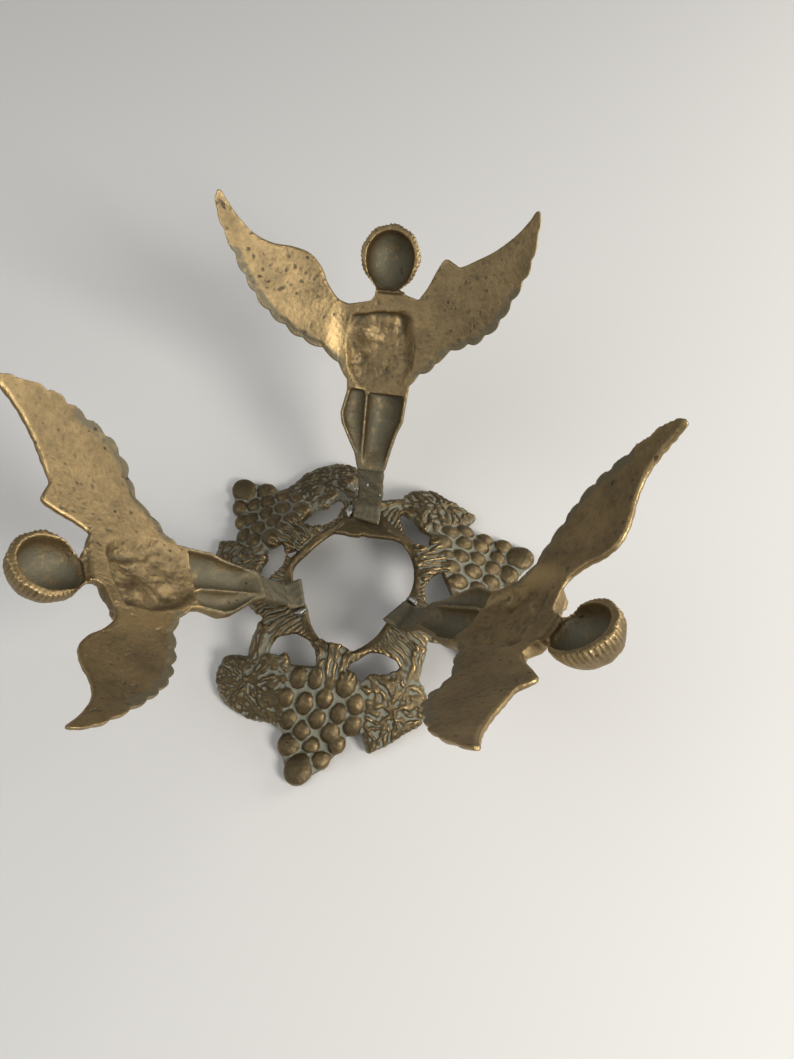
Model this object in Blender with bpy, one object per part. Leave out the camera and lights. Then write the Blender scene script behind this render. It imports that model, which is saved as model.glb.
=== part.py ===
"""Angel candle holder: a raised grape-vine ring on three drooping bunches, with three soldered angels.

Run with: blender --background --python part.py
Lengths are metres, +Z is up, the table is z = 0. The holder is three cast forms repeated round one axis:
a vine section with its bunch of grapes, a winged figure with a hollow back, and a bead of solder.
"""

import math

import bmesh
import bpy
from mathutils import Matrix, Vector

# One square of the paper that the castings' outlines are drawn on
GRID = 0.001
GAP = 0.0003

# The ring and the dome that the vine follows down to the table
SECTIONS = 3
RING_RISE = 0.0140
PLATE = 0.0026
FLAT_RADIUS = 0.0265
REST_RADIUS = 0.0550
RING_OPENING_RADIUS = 0.0212
RING_BAND = 0.0034
RING_BAND_HEIGHT = 0.0026

# The bunch of grapes, drawn in grid squares in a section whose outward direction is -Y: each berry's
# middle and radius, and the web of metal under them
GRAPES = (
    (-12.0, -32.9, 3.0), (-6.6, -32.7, 2.9), (-1.9, -33.4, 2.3), (3.0, -33.4, 3.4), (-15.8, -38.8, 3.0),
    (-9.3, -40.0, 3.1), (-3.2, -38.0, 2.9), (1.8, -41.8, 3.0), (6.6, -38.6, 3.1), (-14.2, -45.0, 3.1),
    (-5.0, -43.9, 3.0), (6.4, -44.4, 3.2), (-9.6, -48.2, 3.2), (-0.3, -47.5, 3.2), (-13.2, -53.3, 3.9),
    (-6.1, -52.7, 3.1), (2.0, -51.0, 2.9), (-2.4, -57.0, 3.1), (-8.9, -60.9, 4.6),
)
GRAPE_SEAT = 0.0021
BUNCH_PLATE = (
    (5.4, -31.4), (7.6, -33.4), (11.0, -40.0), (9.2, -46.4), (5.0, -48.2), (3.4, -52.8), (0.6, -56.5),
    (-2.0, -60.2), (-5.4, -62.8), (-9.2, -65.0), (-13.0, -62.0), (-14.6, -58.5), (-16.4, -54.0),
    (-16.0, -49.0), (-17.8, -43.0), (-19.5, -36.0), (-15.5, -29.5), (-6.0, -29.6), (2.5, -30.0),
)

# The vine leaves: outline, where the veins meet, and the direction of the middle vein
LEAF_REACH = 0.0110
LEAF_THICKNESS = 0.0022
VEIN_HEIGHT = 0.0011
LEFT_LEAF = (
    (-27.0, -28.0), (-31.0, -27.6), (-35.0, -26.9), (-38.5, -27.2), (-40.3, -29.0), (-41.4, -33.0),
    (-40.7, -38.0), (-38.0, -42.0), (-34.0, -44.4), (-29.5, -45.9), (-25.5, -46.6), (-21.0, -46.8),
    (-16.5, -48.6), (-14.0, -44.0), (-15.5, -36.0), (-15.0, -30.5), (-19.0, -28.2), (-23.5, -26.6),
)
LEFT_LEAF_VEINS = (-29.2, -34.2)
LEFT_LEAF_TURN = 190.0
RIGHT_LEAF = (
    (7.0, -33.8), (8.6, -32.0), (10.5, -30.0), (15.0, -29.5), (19.5, -27.0), (22.5, -28.0), (25.0, -28.5),
    (28.0, -32.0), (28.8, -36.0), (28.3, -40.0), (27.0, -42.0), (24.0, -44.0), (21.0, -46.5),
    (17.5, -49.5), (14.5, -51.2), (12.2, -52.2), (9.6, -46.5), (8.5, -40.0),
)
RIGHT_LEAF_VEINS = (18.0, -38.6)
RIGHT_LEAF_TURN = -50.0

# The two flat trunks of a section, from directions on the ring's edge out to the leaves
LEFT_TRUNK_RING = (211.0, 219.0, 228.0, 240.0, 252.0)
LEFT_TRUNK = (
    (-8.3, -23.7), (-12.0, -21.5), (-16.0, -20.0), (-22.0, -21.3), (-24.0, -24.5), (-24.0, -27.0),
    (-24.5, -31.0), (-30.0, -31.0), (-31.0, -27.0), (-30.3, -21.0), (-28.6, -16.5), (-26.9, -14.6),
)
RIGHT_TRUNK_RING = (285.0, 297.0, 308.0, 320.0, 334.0)
RIGHT_TRUNK = (
    (27.2, -14.8), (26.6, -20.0), (25.8, -26.0), (25.0, -31.0), (20.0, -31.0), (19.5, -26.5),
    (18.0, -24.5), (14.0, -23.3), (9.0, -23.5), (5.0, -25.3),
)

# The branches
BRANCH_RADIUS = 0.0026
TWIG_RADIUS = 0.0019

# The angel, drawn flat with its feet at the origin, X to the right seen from behind, Y up the body
ANKLE_ANGLE = math.radians(62.0)
ANKLE_BEND = 0.0035
ANKLE_LENGTH = 0.0156
TAB_LENGTH = 0.0042
TAB_THICKNESS = 0.0018
BLOCK_THICKNESS = 0.0034
FOOT_RADIUS = 0.0228
RIM = 0.0018
WALL = 0.0014
WING_THICKNESS = 0.0017
SWEEP_RADIUS = 0.065
FEATHER_HEIGHT = 0.0007
HEAD_HALF_WIDTH = 0.0096
HEAD_HALF_HEIGHT = 0.0104
HEAD_CENTRE = 0.0692
HEAD_DEPTH = 0.0090
HAIR_RIDGE = 0.00035
CHEST_DEPTH = 0.0066
NECK_TOP = 0.0598

HEAD_MIDDLE = 0.0016
HOLLOW_SHARE_TOP = 0.80
HOLLOW_SHARE_NECK = 0.94
RECESS_DEPTH = 0.0021
RECESS_LOW = 0.0262
RECESS_TOP = 0.0522
LEDGE = 0.0262
LEG_DIVIDE = -0.0022
LEG_OVERLAP = 0.0006
BLOCK_STEP = 0.0005
ARM_RADIUS = 0.0023
SWEEP_MIDDLE = -0.0010
BODY_COLUMNS = 12
RIDGE_COLUMN = 4

# The wings, as their edges' points in millimetres from the root to the tip
FEATHERS = 11
FEATHER_BULGE = 0.0005
WING_ROOT_LOW = 0.0295
WING_ROOT_LEFT = 0.0540
WING_ROOT_RIGHT = 0.0572
LEFT_LEADING = (
    (-10.6, 54.0), (-14.2, 55.4), (-17.6, 59.6), (-19.8, 64.2), (-23.6, 68.1), (-28.8, 69.6),
    (-34.6, 69.9), (-40.0, 71.9), (-44.4, 76.0), (-47.4, 80.0), (-49.9, 83.0),
)
LEFT_TRAILING = (
    (-9.2, 29.5), (-12.6, 34.5), (-18.0, 38.8), (-24.5, 41.4), (-30.0, 45.0), (-35.0, 49.0),
    (-39.0, 54.0), (-42.0, 59.0), (-45.0, 65.0), (-48.0, 71.5), (-49.8, 77.0), (-49.9, 83.0),
)
RIGHT_LEADING = (
    (12.0, 57.2), (14.6, 61.2), (17.0, 66.5), (19.4, 70.2), (22.6, 69.0), (24.6, 68.2),
    (29.5, 70.6), (34.5, 73.4), (40.0, 78.0), (43.4, 82.2), (45.8, 85.6),
)
RIGHT_TRAILING = (
    (11.8, 29.5), (14.5, 33.2), (19.0, 36.3), (23.0, 41.2), (28.0, 44.0), (32.5, 46.0),
    (37.2, 50.5), (40.0, 55.5), (42.4, 61.0), (44.6, 66.5), (45.7, 72.0), (46.0, 79.0), (45.8, 85.6),
)

# How many triangles the castings keep
WREATH_TRIANGLES = 4700
ANGEL_TRIANGLES = 2250

# Each angel as it was soldered on by hand: node, direction, how far its foot lies outward and to the
# side, and its lean, tilt and twist; the angles are in degrees
ANGELS = (
    ("angel_back", 89.5, 0.0047, 0.0, 41.7, 0.0, 0.0),
    ("angel_left", 209.8, -0.0020, 0.0018, 47.0, 0.2, -2.2),
    ("angel_right", 330.7, -0.0012, -0.0008, 51.0, -1.6, 0.2),
)
# The place in the ankle block that an angel is tilted and twisted about
TURNING_POINT = (0.0014, 0.0266, 0.0185)

SOLDER_RADIUS = 0.0016


def smooth(value):
    t = min(max(value, 0.0), 1.0)
    return t * t * (3.0 - 2.0 * t)


def mix(a, b, t):
    return a + (b - a) * t


def curve_at(points, at):
    """The value at a place on the smooth curve through (place, value) points."""
    if at <= points[0][0]:
        return points[0][1]
    for i in range(len(points) - 1):
        here, after = points[i], points[i + 1]
        if at <= after[0]:
            before = points[max(i - 1, 0)]
            beyond = points[min(i + 2, len(points) - 1)]
            span = after[0] - here[0]
            t = (at - here[0]) / span
            start = (after[1] - before[1]) / (after[0] - before[0]) * span
            end = (beyond[1] - here[1]) / (beyond[0] - here[0]) * span
            return (
                (2 * t ** 3 - 3 * t ** 2 + 1) * here[1]
                + (t ** 3 - 2 * t ** 2 + t) * start
                + (3 * t ** 2 - 2 * t ** 3) * after[1]
                + (t ** 3 - t ** 2) * end
            )
    return points[-1][1]


def straight_at(points, at):
    """The value at a place on the broken line through (place, value) points."""
    for here, after in zip(points, points[1:]):
        if at <= after[0]:
            return mix(here[1], after[1], max(0.0, (at - here[0]) / (after[0] - here[0])))
    return points[-1][1]


def arch(x, left, right):
    """A round arch of height 1 between two sides, 0 outside them."""
    t = (x - left) / (right - left)
    return math.sqrt(max(0.0, 4.0 * t * (1.0 - t)))


def path_point(points, t):
    """The point at t (0 to 1) on a smooth path through 3-D points."""
    count = len(points) - 1
    places = [(i / count, p) for i, p in enumerate(points)]
    return Vector([curve_at([(s, p[k]) for s, p in places], t) for k in range(3)])


def closed_curve(points, t):
    """The point at t (0 to 1) round a smooth closed outline that is drawn in grid squares."""
    count = len(points)
    i = int(t * count) % count
    u = t * count - int(t * count)
    p0, p1, p2, p3 = (Vector(points[(i + k) % count]) for k in (-1, 0, 1, 2))
    blend = 0.5 * (
        2.0 * p1 + (p2 - p0) * u + (2.0 * p0 - 5.0 * p1 + 4.0 * p2 - p3) * u ** 2
        + (3.0 * p1 - p0 - 3.0 * p2 + p3) * u ** 3
    )
    return blend * GRID


def clear_scene():
    for obj in list(bpy.data.objects):
        bpy.data.objects.remove(obj)


def material(name, colour, metallic, roughness):
    mat = bpy.data.materials.new(name)
    mat.use_nodes = True
    shader = mat.node_tree.nodes["Principled BSDF"]
    shader.inputs["Base Color"].default_value = (*colour, 1.0)
    shader.inputs["Metallic"].default_value = metallic
    shader.inputs["Roughness"].default_value = roughness
    mat.diffuse_color = (*colour, 1.0)
    return mat


def object_from(bm, name):
    bmesh.ops.recalc_face_normals(bm, faces=bm.faces)
    if bm.calc_volume(signed=True) < 0.0:
        bmesh.ops.reverse_faces(bm, faces=bm.faces)
    mesh = bpy.data.meshes.new(name)
    bm.to_mesh(mesh)
    bm.free()
    obj = bpy.data.objects.new(name, mesh)
    bpy.context.collection.objects.link(obj)
    return obj


def fused(name, base, others):
    """One solid out of a base object and the solids that overlap it."""
    group = bpy.data.collections.new(name + "_pieces")
    bpy.context.scene.collection.children.link(group)
    for other in others:
        group.objects.link(other)
    union = base.modifiers.new("union", "BOOLEAN")
    union.operation = "UNION"
    union.solver = "EXACT"
    union.operand_type = "COLLECTION"
    union.collection = group
    view = bpy.context.evaluated_depsgraph_get()
    mesh = bpy.data.meshes.new_from_object(base.evaluated_get(view))
    mesh.name = name
    for piece in [base, *others]:
        bpy.data.objects.remove(piece)
    bpy.data.collections.remove(group)
    bm = bmesh.new()
    bm.from_mesh(mesh)
    bpy.data.meshes.remove(mesh)
    return bm


def thinned(bm, triangles):
    """The same closed solid with about this many triangles, fewest where it is flattest."""
    bmesh.ops.triangulate(bm, faces=bm.faces)
    obj = object_from(bm, "dense")
    ratio = min(1.0, triangles / len(obj.data.polygons))
    fewer = obj.modifiers.new("fewer", "DECIMATE")
    fewer.decimate_type = "COLLAPSE"
    fewer.ratio = ratio
    view = bpy.context.evaluated_depsgraph_get()
    mesh = bpy.data.meshes.new_from_object(obj.evaluated_get(view))
    bpy.data.objects.remove(obj)
    result = bmesh.new()
    result.from_mesh(mesh)
    bpy.data.meshes.remove(mesh)
    return result


# The vine section


def dome_height(radius):
    """Height of the casting's underside above the table at a distance from the axis."""
    t = (radius - FLAT_RADIUS) / (REST_RADIUS - FLAT_RADIUS)
    t = min(max(t, 0.0), 1.0)
    return RING_RISE * (1.0 - mix(t, smooth(t), 0.45))


def onto_dome(point):
    """Carry a point of the flat drawing to the dome, along the dome's own normal."""
    radius = math.hypot(point.x, point.y)
    step = 0.0004
    slope = (dome_height(radius + step) - dome_height(radius - step)) / (2.0 * step)
    length = math.hypot(1.0, slope)
    outward = Vector((point.x, point.y, 0.0)).normalized() if radius > step else Vector()
    under = Vector((point.x, point.y, dome_height(radius)))
    if radius > REST_RADIUS:
        return under + Vector((0.0, 0.0, point.z))
    return under + outward * (-slope / length * point.z) + Vector((0.0, 0.0, point.z / length))


def slab(outline, thickness):
    """A flat plate with its underside at z = 0."""
    bm = bmesh.new()
    face = bm.faces.new([bm.verts.new((x, y, 0.0)) for x, y in outline])
    raised = bmesh.ops.extrude_face_region(bm, geom=[face])
    verts = [v for v in raised["geom"] if isinstance(v, bmesh.types.BMVert)]
    bmesh.ops.translate(bm, verts=verts, vec=(0.0, 0.0, thickness))
    return bm


def grape(x, y, radius):
    """A berry that stands a little over half out of the plate."""
    bm = bmesh.new()
    bmesh.ops.create_uvsphere(bm, u_segments=8, v_segments=6, radius=radius)
    bmesh.ops.scale(bm, verts=bm.verts, vec=(0.98, 1.06, 0.95))
    bmesh.ops.translate(bm, verts=bm.verts, vec=(x, y, GRAPE_SEAT))
    cut = bmesh.ops.bisect_plane(
        bm, geom=[*bm.verts, *bm.edges, *bm.faces], plane_co=(0.0, 0.0, 0.0),
        plane_no=(0.0, 0.0, -1.0), clear_outer=True,
    )
    rim = [e for e in cut["geom_cut"] if isinstance(e, bmesh.types.BMEdge)]
    bmesh.ops.edgeloop_fill(bm, edges=rim)
    return object_from(bm, "berry")


def bunch():
    return [grape(x * GRID, y * GRID, radius * GRID) for x, y, radius in GRAPES]


def bunch_plate():
    return slab([(x * GRID, y * GRID) for x, y in BUNCH_PLATE], PLATE)


def trunk(ring, outer):
    """A flat trunk: its inner side follows the ring's edge and its outer side runs to the leaf."""
    inner = [(ring_edge(a) + 0.4 * GRID, math.radians(a)) for a in ring]
    outline = [(r * math.cos(a), r * math.sin(a)) for r, a in inner]
    outline += [(x * GRID, y * GRID) for x, y in outer]
    return object_from(slab(outline, RING_BAND_HEIGHT), "trunk")


def leaf(outline, stalk, facing, spokes=36, lobes=5):
    """A vine leaf: a toothed outline and raised veins that fan out from the end of the stalk."""
    middle = Vector((stalk[0], stalk[1], 0.0)) * GRID
    bm = bmesh.new()
    rim = []
    for i in range(spokes):
        edge = closed_curve(outline, i / spokes).to_3d()
        tooth = 0.35 * GRID if i % 2 else -0.35 * GRID
        rim.append(bm.verts.new(edge + (edge - middle).normalized() * tooth))
    face = bm.faces.new(rim)
    raised = bmesh.ops.extrude_face_region(bm, geom=[face])
    top = [v for v in raised["geom"] if isinstance(v, bmesh.types.BMVert)]
    bmesh.ops.translate(bm, verts=top, vec=(0.0, 0.0, LEAF_THICKNESS))
    lid = [f for f in raised["geom"] if isinstance(f, bmesh.types.BMFace)]
    for share in (0.72, 0.60):
        bmesh.ops.inset_individual(bm, faces=lid, thickness=0.0)
        for vert in lid[0].verts:
            flat = Vector((vert.co.x, vert.co.y, 0.0))
            vert.co = middle + (flat - middle) * share + Vector((0.0, 0.0, vert.co.z))
    bmesh.ops.poke(bm, faces=lid)
    for vert in bm.verts:
        if vert.co.z < LEAF_THICKNESS * 0.5:
            continue
        away = Vector((vert.co.x, vert.co.y, 0.0)) - middle
        share = min(away.length / LEAF_REACH, 1.0)
        bearing = math.atan2(away.y, away.x) - math.radians(facing)
        vein = math.cos(lobes * bearing)
        fine = math.cos(3 * lobes * bearing)
        vert.co.z += VEIN_HEIGHT * (0.6 * vein + 0.35 * fine) * smooth(share * 3.0)
        vert.co.z += VEIN_HEIGHT * 0.8 * (1.0 - share)
    return object_from(bm, "leaf")


def tube(name, points, radii, flat, sides=8, steps=6, floor=0.0):
    """A tapered branch along a smooth path, with bark ridges on alternate sides."""
    bm = bmesh.new()
    loops = []
    for k in range(steps + 1):
        t = k / steps
        here = path_point(points, t)
        ahead = path_point(points, min(t + 0.02, 1.0)) - path_point(points, max(t - 0.02, 0.0))
        across = Vector((-ahead.y, ahead.x, 0.0)).normalized()
        up = Vector((0.0, 0.0, 1.0))
        radius = curve_at([(i / (len(radii) - 1), r) for i, r in enumerate(radii)], t)
        ring = []
        for i in range(sides):
            angle = 2.0 * math.pi * (i + 0.5) / sides
            reach = radius * (1.0 + (0.10 if (i + k) % 2 else -0.08))
            offset = across * math.cos(angle) * reach + up * math.sin(angle) * reach * flat
            ring.append(bm.verts.new(here + offset))
        edges = [bm.edges.new((ring[i], ring[(i + 1) % sides])) for i in range(sides)]
        loops.append(edges)
        if k in (0, steps):
            bm.faces.new(ring)
    for before, after in zip(loops, loops[1:]):
        bmesh.ops.bridge_loops(bm, edges=[*before, *after])
    if floor is not None:
        for vert in bm.verts:
            vert.co.z = max(vert.co.z, floor)
    return object_from(bm, name)


def branches():
    """The stem of the bunch and the two boughs that run from the ring to the leaves."""
    high = PLATE * 0.6
    stem = [(-2.2, -22.5), (-2.6, -27.0), (-3.0, -33.0)]
    left_bough = [(-25.8, -17.6), (-27.2, -21.5), (-28.4, -27.5), (-29.2, -34.2)]
    right_bough = [(24.2, -18.6), (23.6, -23.0), (22.8, -28.0), (18.0, -38.6)]
    left_twig = [(-8.5, -22.0), (-6.3, -25.0), (-5.8, -30.5)]
    right_twig = [(3.5, -24.5), (1.6, -27.0), (0.8, -31.0)]
    routes = (
        (stem, (1.3, 1.0, 0.9), BRANCH_RADIUS),
        (left_bough, (1.15, 1.0, 0.95, 0.35), BRANCH_RADIUS),
        (right_bough, (1.15, 1.0, 0.95, 0.35), BRANCH_RADIUS),
        (left_twig, (1.1, 1.0, 0.7), TWIG_RADIUS),
        (right_twig, (1.1, 1.0, 0.7), TWIG_RADIUS),
    )
    made = []
    for route, sizes, radius in routes:
        points = [(x * GRID, y * GRID, high) for x, y in route]
        made.append(tube("branch", points, [radius * s for s in sizes], 0.75))
    return made


def ring_edge(angle):
    """Distance from the axis to the hand-finished edge of the opening, at an angle in degrees."""
    shares = (
        (0, 0.95), (30, 1.03), (60, 1.07), (90, 1.17), (118, 0.96), (150, 0.91), (175, 0.99),
        (215, 0.82), (240, 0.98), (268, 1.17), (295, 1.02), (318, 0.86), (345, 0.90), (360, 0.95),
    )
    return RING_OPENING_RADIUS * curve_at(shares, angle % 360.0)


def ring_band(stations=33, sides=6):
    """The ring itself: a flattened band that follows the edge of the opening."""
    bm = bmesh.new()
    loops = []
    for k in range(stations):
        angle = 360.0 * k / stations
        middle = ring_edge(angle) + RING_BAND / 2.0
        outward = Vector((math.cos(math.radians(angle)), math.sin(math.radians(angle)), 0.0))
        ring = []
        for i in range(sides):
            turn = 2.0 * math.pi * i / sides
            across = RING_BAND / 2.0 * math.cos(turn)
            height = max(RING_BAND_HEIGHT * (0.45 + 0.55 * math.sin(turn)), 0.0)
            ring.append(bm.verts.new(outward * (middle + across) + Vector((0.0, 0.0, height))))
        loops.append([bm.edges.new((ring[i], ring[(i + 1) % sides])) for i in range(sides)])
    for k in range(stations):
        bmesh.ops.bridge_loops(bm, edges=[*loops[k], *loops[(k + 1) % stations]])
    return object_from(bm, "ring_band")


def vine_section():
    """One bunch of grapes with its two leaves and its branches, drawn flat."""
    pieces = bunch()
    pieces += branches()
    pieces.append(trunk(LEFT_TRUNK_RING, LEFT_TRUNK))
    pieces.append(trunk(RIGHT_TRUNK_RING, RIGHT_TRUNK))
    pieces.append(leaf(LEFT_LEAF, LEFT_LEAF_VEINS, LEFT_LEAF_TURN))
    pieces.append(leaf(RIGHT_LEAF, RIGHT_LEAF_VEINS, RIGHT_LEAF_TURN))
    base = object_from(bunch_plate(), "bunch_plate")
    return fused("vine_section", base, pieces)


def grape_wreath():
    section = vine_section()
    base = ring_band()
    others = []
    for k in range(SECTIONS):
        copy = section.copy()
        turn = Matrix.Rotation(math.radians(360.0 * k / SECTIONS), 3, "Z")
        bmesh.ops.rotate(copy, verts=copy.verts, cent=(0.0, 0.0, 0.0), matrix=turn)
        others.append(object_from(copy, "section"))
    section.free()
    bm = thinned(fused("grape_wreath", base, others), WREATH_TRIANGLES)
    for vert in bm.verts:
        if vert.co.z < PLATE / 10.0:
            vert.co.z = 0.0
    for vert in bm.verts:
        vert.co = onto_dome(vert.co)
    return object_from(bm, "grape_wreath")


# The angel


def body_sides(along):
    """The left and right edges of the figure at a place up the body, in metres."""
    left = (
        (0.0, -3.4), (5.3, -4.8), (9.9, -7.3), (15.2, -10.0), (18.6, -10.6), (26.3, -9.0), (29.5, -9.2),
        (36.5, -11.8), (43.5, -12.6), (50.5, -12.0), (54.0, -10.6), (55.6, -3.6), (57.4, -2.4), (61.0, -2.3),
    )
    right = (
        (0.0, 6.2), (7.1, 7.7), (13.1, 9.2), (17.4, 10.9), (23.3, 11.3), (29.5, 11.8), (33.0, 12.8),
        (43.5, 13.6), (50.5, 13.2), (57.2, 12.0), (58.4, 7.6), (61.0, 6.0),
    )
    place = along / GRID
    return tuple(straight_at(side, place) * GRID for side in (left, right))


def leg_bulge(x, along, inset):
    """How far the two draped legs stand forward, or how deep their hollows are."""
    left, right = body_sides(along)
    divide = LEG_DIVIDE
    narrow = (divide - left) / 2.0 - inset
    broad = (right - divide) / 2.0 - inset
    a = narrow * arch(x, left + inset, divide + (LEG_OVERLAP if inset == 0.0 else -WALL / 3.0))
    b = broad * arch(x, divide - (LEG_OVERLAP if inset == 0.0 else -WALL / 3.0), right - inset)
    return max(a, b, 0.0)


def front_depth(x, along):
    """How far the front of the figure stands forward of its flat rim."""
    left, right = body_sides(along)
    place = along / GRID
    rise = smooth((place - 24.0) / 8.0)
    legs = leg_bulge(x, along, 0.0) * smooth(place / 4.0 + 0.3)
    fold = 0.6 * GRID * math.cos(x / GRID / 1.1) * smooth(legs / GRID / 3.0) * (1.0 - rise)
    waist = CHEST_DEPTH * (0.80 + 0.30 * math.sin(math.pi * smooth((place - 30.0) / 20.0)))
    narrowing = 1.0 - 0.45 * smooth((place - 48.0) / 9.0)
    chest = waist * narrowing * arch(x, left, right)
    return mix(legs + fold, chest, rise)


def back_depth(x, along):
    """How deep the hollow back is below the flat rim: two leg hollows under a ledge, and the dished torso."""
    left, right = body_sides(along)
    ends = smooth(along / GRID / 7.0) * (1.0 - smooth((along - LEDGE) / GRID + 1.0))
    legs = leg_bulge(x, along, WALL * 0.8) * ends
    rim = RIM * 0.4
    inside = min(1.0, 1.7 * arch(x, left + rim, right - rim))
    recess = smooth((along - RECESS_LOW) / GRID / 5.0) * (1.0 - smooth((along - RECESS_TOP) / GRID + 1.0))
    lumps = 0.25 * math.sin(x / GRID / 2.3 + 0.8) * math.cos(along / GRID / 3.1)
    torso = RECESS_DEPTH * (1.0 + lumps + 0.3 * smooth(x / GRID / 10.0)) * inside * recess
    return max(legs, torso)


def body_rows():
    legs = (0.0, 2.7, 5.5, 8.5, 11.5, 14.5, 17.5, 20.5, 23.5, 25.2, 26.2, 27.6)
    torso = (33.0, 36.5, 40.0, 43.5, 47.0, 50.0)
    rows = [place * GRID for place in legs]
    rows += [WING_ROOT_LOW] + [place * GRID for place in torso]
    return rows + [RECESS_TOP, WING_ROOT_LEFT, 55.6 * GRID, WING_ROOT_RIGHT, 58.4 * GRID, NECK_TOP]


def column_place(column, along):
    """Where a lengthwise line of the body's grid lies: rims at the sides, a ridge between the legs."""
    left, right = body_sides(along)
    narrow = mix(1.0, 0.55, smooth((along - RECESS_LOW) / GRID / 4.0))
    rim = min(RIM * narrow, (right - left) / 5.0)
    if column == 0:
        return left
    if column == BODY_COLUMNS:
        return right
    above = along > WING_ROOT_LEFT - 4.0 * GRID
    divide = mix(left + rim, right - rim, 0.36) if above or along < GRID / 2.0 else LEG_DIVIDE
    if column <= RIDGE_COLUMN:
        return mix(left + rim, divide, (column - 1) / (RIDGE_COLUMN - 1))
    return mix(divide, right - rim, (column - RIDGE_COLUMN) / (BODY_COLUMNS - 1 - RIDGE_COLUMN))


def grid_sheet(columns, rows, place):
    """A flat grid whose points are put by place(column, row), with their front and back depths."""
    bm = bmesh.new()
    front = bm.verts.layers.float.new("front")
    back = bm.verts.layers.float.new("back")
    bmesh.ops.create_grid(bm, x_segments=columns, y_segments=rows, size=1.0)
    for vert in bm.verts:
        column = round((vert.co.x + 1.0) / 2.0 * columns)
        row = round((vert.co.y + 1.0) / 2.0 * rows)
        x, y, vert[front], vert[back] = place(column, row)
        vert.co = (x, y, 0.0)
    return bm


def body_sheet():
    rows = body_rows()

    def place(column, row):
        along = rows[row]
        x = column_place(column, along)
        edge = column in (0, BODY_COLUMNS)
        depth = 0.0 if edge else front_depth(x, along)
        hollow = 0.0 if edge else min(back_depth(x, along), depth + RIM - WALL)
        return x, along, RIM + depth, hollow

    return grid_sheet(BODY_COLUMNS, len(rows) - 1, place)


def foot_sheet():
    """The ankle block and the tab that is soldered to the ring."""
    steps = 7
    length = ANKLE_LENGTH + TAB_LENGTH

    def place(column, row):
        along = -length * (1.0 - row / steps)
        flare = smooth((-along - ANKLE_LENGTH * 0.75) / GRID / 4.0)
        left, right = body_sides(0.0)
        if row < steps:
            left += (0.6 - 1.2 * flare) * GRID
            right -= 0.4 * GRID
        share = column_share(column)
        slant = (0.5 - share) * 2.0 * GRID if row == 0 else 0.0
        thinning = smooth((-along - ANKLE_LENGTH) / GRID / 4.5 + 1.3)
        thick = mix(BLOCK_THICKNESS, TAB_THICKNESS, thinning)
        hollow = 0.0 if row == steps else BLOCK_STEP
        thick = RIM if row == steps else thick
        return mix(left, right, share), along + slant, thick, hollow

    return grid_sheet(BODY_COLUMNS, steps, place)


def column_share(column):
    left, right = body_sides(0.0)
    return (column_place(column, 0.0) - left) / (right - left)


def wing_sheet(leading, trailing, root_rows, side):
    """A wing: chords run from the leading edge to the scalloped trailing edge, a feather to two strips."""
    columns = FEATHERS * 2
    rows = len(root_rows) - 1

    def edge_point(points, share):
        return path_point([(x * GRID, y * GRID, 0.0) for x, y in points], share)

    def place(column, row):
        span = column / columns
        chord = (root_rows[-1] - root_rows[row]) / (root_rows[-1] - root_rows[0])
        lead = edge_point(leading, span)
        trail = edge_point(trailing, span)
        root = Vector((body_sides(root_rows[row])[side], root_rows[row], 0.0))
        straight = edge_point(leading, 0.0).lerp(edge_point(trailing, 0.0), chord)
        tip_row = row == 0
        reach = (trail - lead).length
        if tip_row and 0 < column < columns:
            bulge = FEATHER_BULGE if column % 2 else -FEATHER_BULGE
            trail = trail + (trail - lead).normalized() * bulge * smooth(reach / GRID / 10.0)
        point = lead.lerp(trail, chord) + (root - straight) * (1.0 - span) ** 2
        if column == 0:
            point = root
        raised = FEATHER_HEIGHT * (0.5 if column % 2 else -0.5) * smooth(chord * 2.5 - 0.4)
        cover = FEATHER_HEIGHT * 1.4 * (1.0 - smooth(chord * 2.2 - 0.35))
        fade = smooth(column / 2.0) * smooth((columns - column) / 2.0)
        thick = WING_THICKNESS + (raised + cover) * fade
        thick = RIM if column == 0 else thick
        return point.x, point.y, thick, 0.0

    return grid_sheet(columns, rows, place)


def head_solid():
    """The head: a hollow egg with fluted hair round it and a calm, plain face in front."""
    spokes = 28
    bm = bmesh.new()
    front = bm.verts.layers.float.new("front")
    back = bm.verts.layers.float.new("back")
    bmesh.ops.create_circle(bm, cap_ends=True, segments=spokes, radius=1.0)
    lid = list(bm.faces)
    scale = 1.0
    for share in (0.93, 0.78, 0.60, 0.40, 0.20):
        bmesh.ops.inset_individual(bm, faces=lid, thickness=0.0)
        bmesh.ops.scale(bm, verts=list(lid[0].verts), vec=(share / scale, share / scale, 1.0))
        scale = share
    bmesh.ops.poke(bm, faces=lid)
    for vert in bm.verts:
        reach = min(math.hypot(vert.co.x, vert.co.y), 1.0)
        angle = math.atan2(vert.co.y, vert.co.x)
        hair = HAIR_RIDGE * math.cos(spokes / 2.0 * (angle + math.pi / spokes)) * smooth(reach * 3.0 - 1.6)
        x, y = vert.co.x, vert.co.y
        vert[front] = RIM + HEAD_DEPTH * math.sqrt(1.0 - 0.98 * reach ** 2) + face_relief(x, y) + hair
        downward = smooth(-y / max(reach, 0.1) * 1.6 - 0.4)
        hollow = reach / mix(HOLLOW_SHARE_TOP, HOLLOW_SHARE_NECK, downward)
        vert[back] = (HEAD_DEPTH - WALL) * math.sqrt(max(0.0, 1.0 - hollow ** 2))
        outline = 1.0 + hair * 2.0 / HEAD_HALF_WIDTH
        vert.co.x = HEAD_MIDDLE + x * HEAD_HALF_WIDTH * outline
        vert.co.y = HEAD_CENTRE + y * HEAD_HALF_HEIGHT * outline
    return bm


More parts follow.
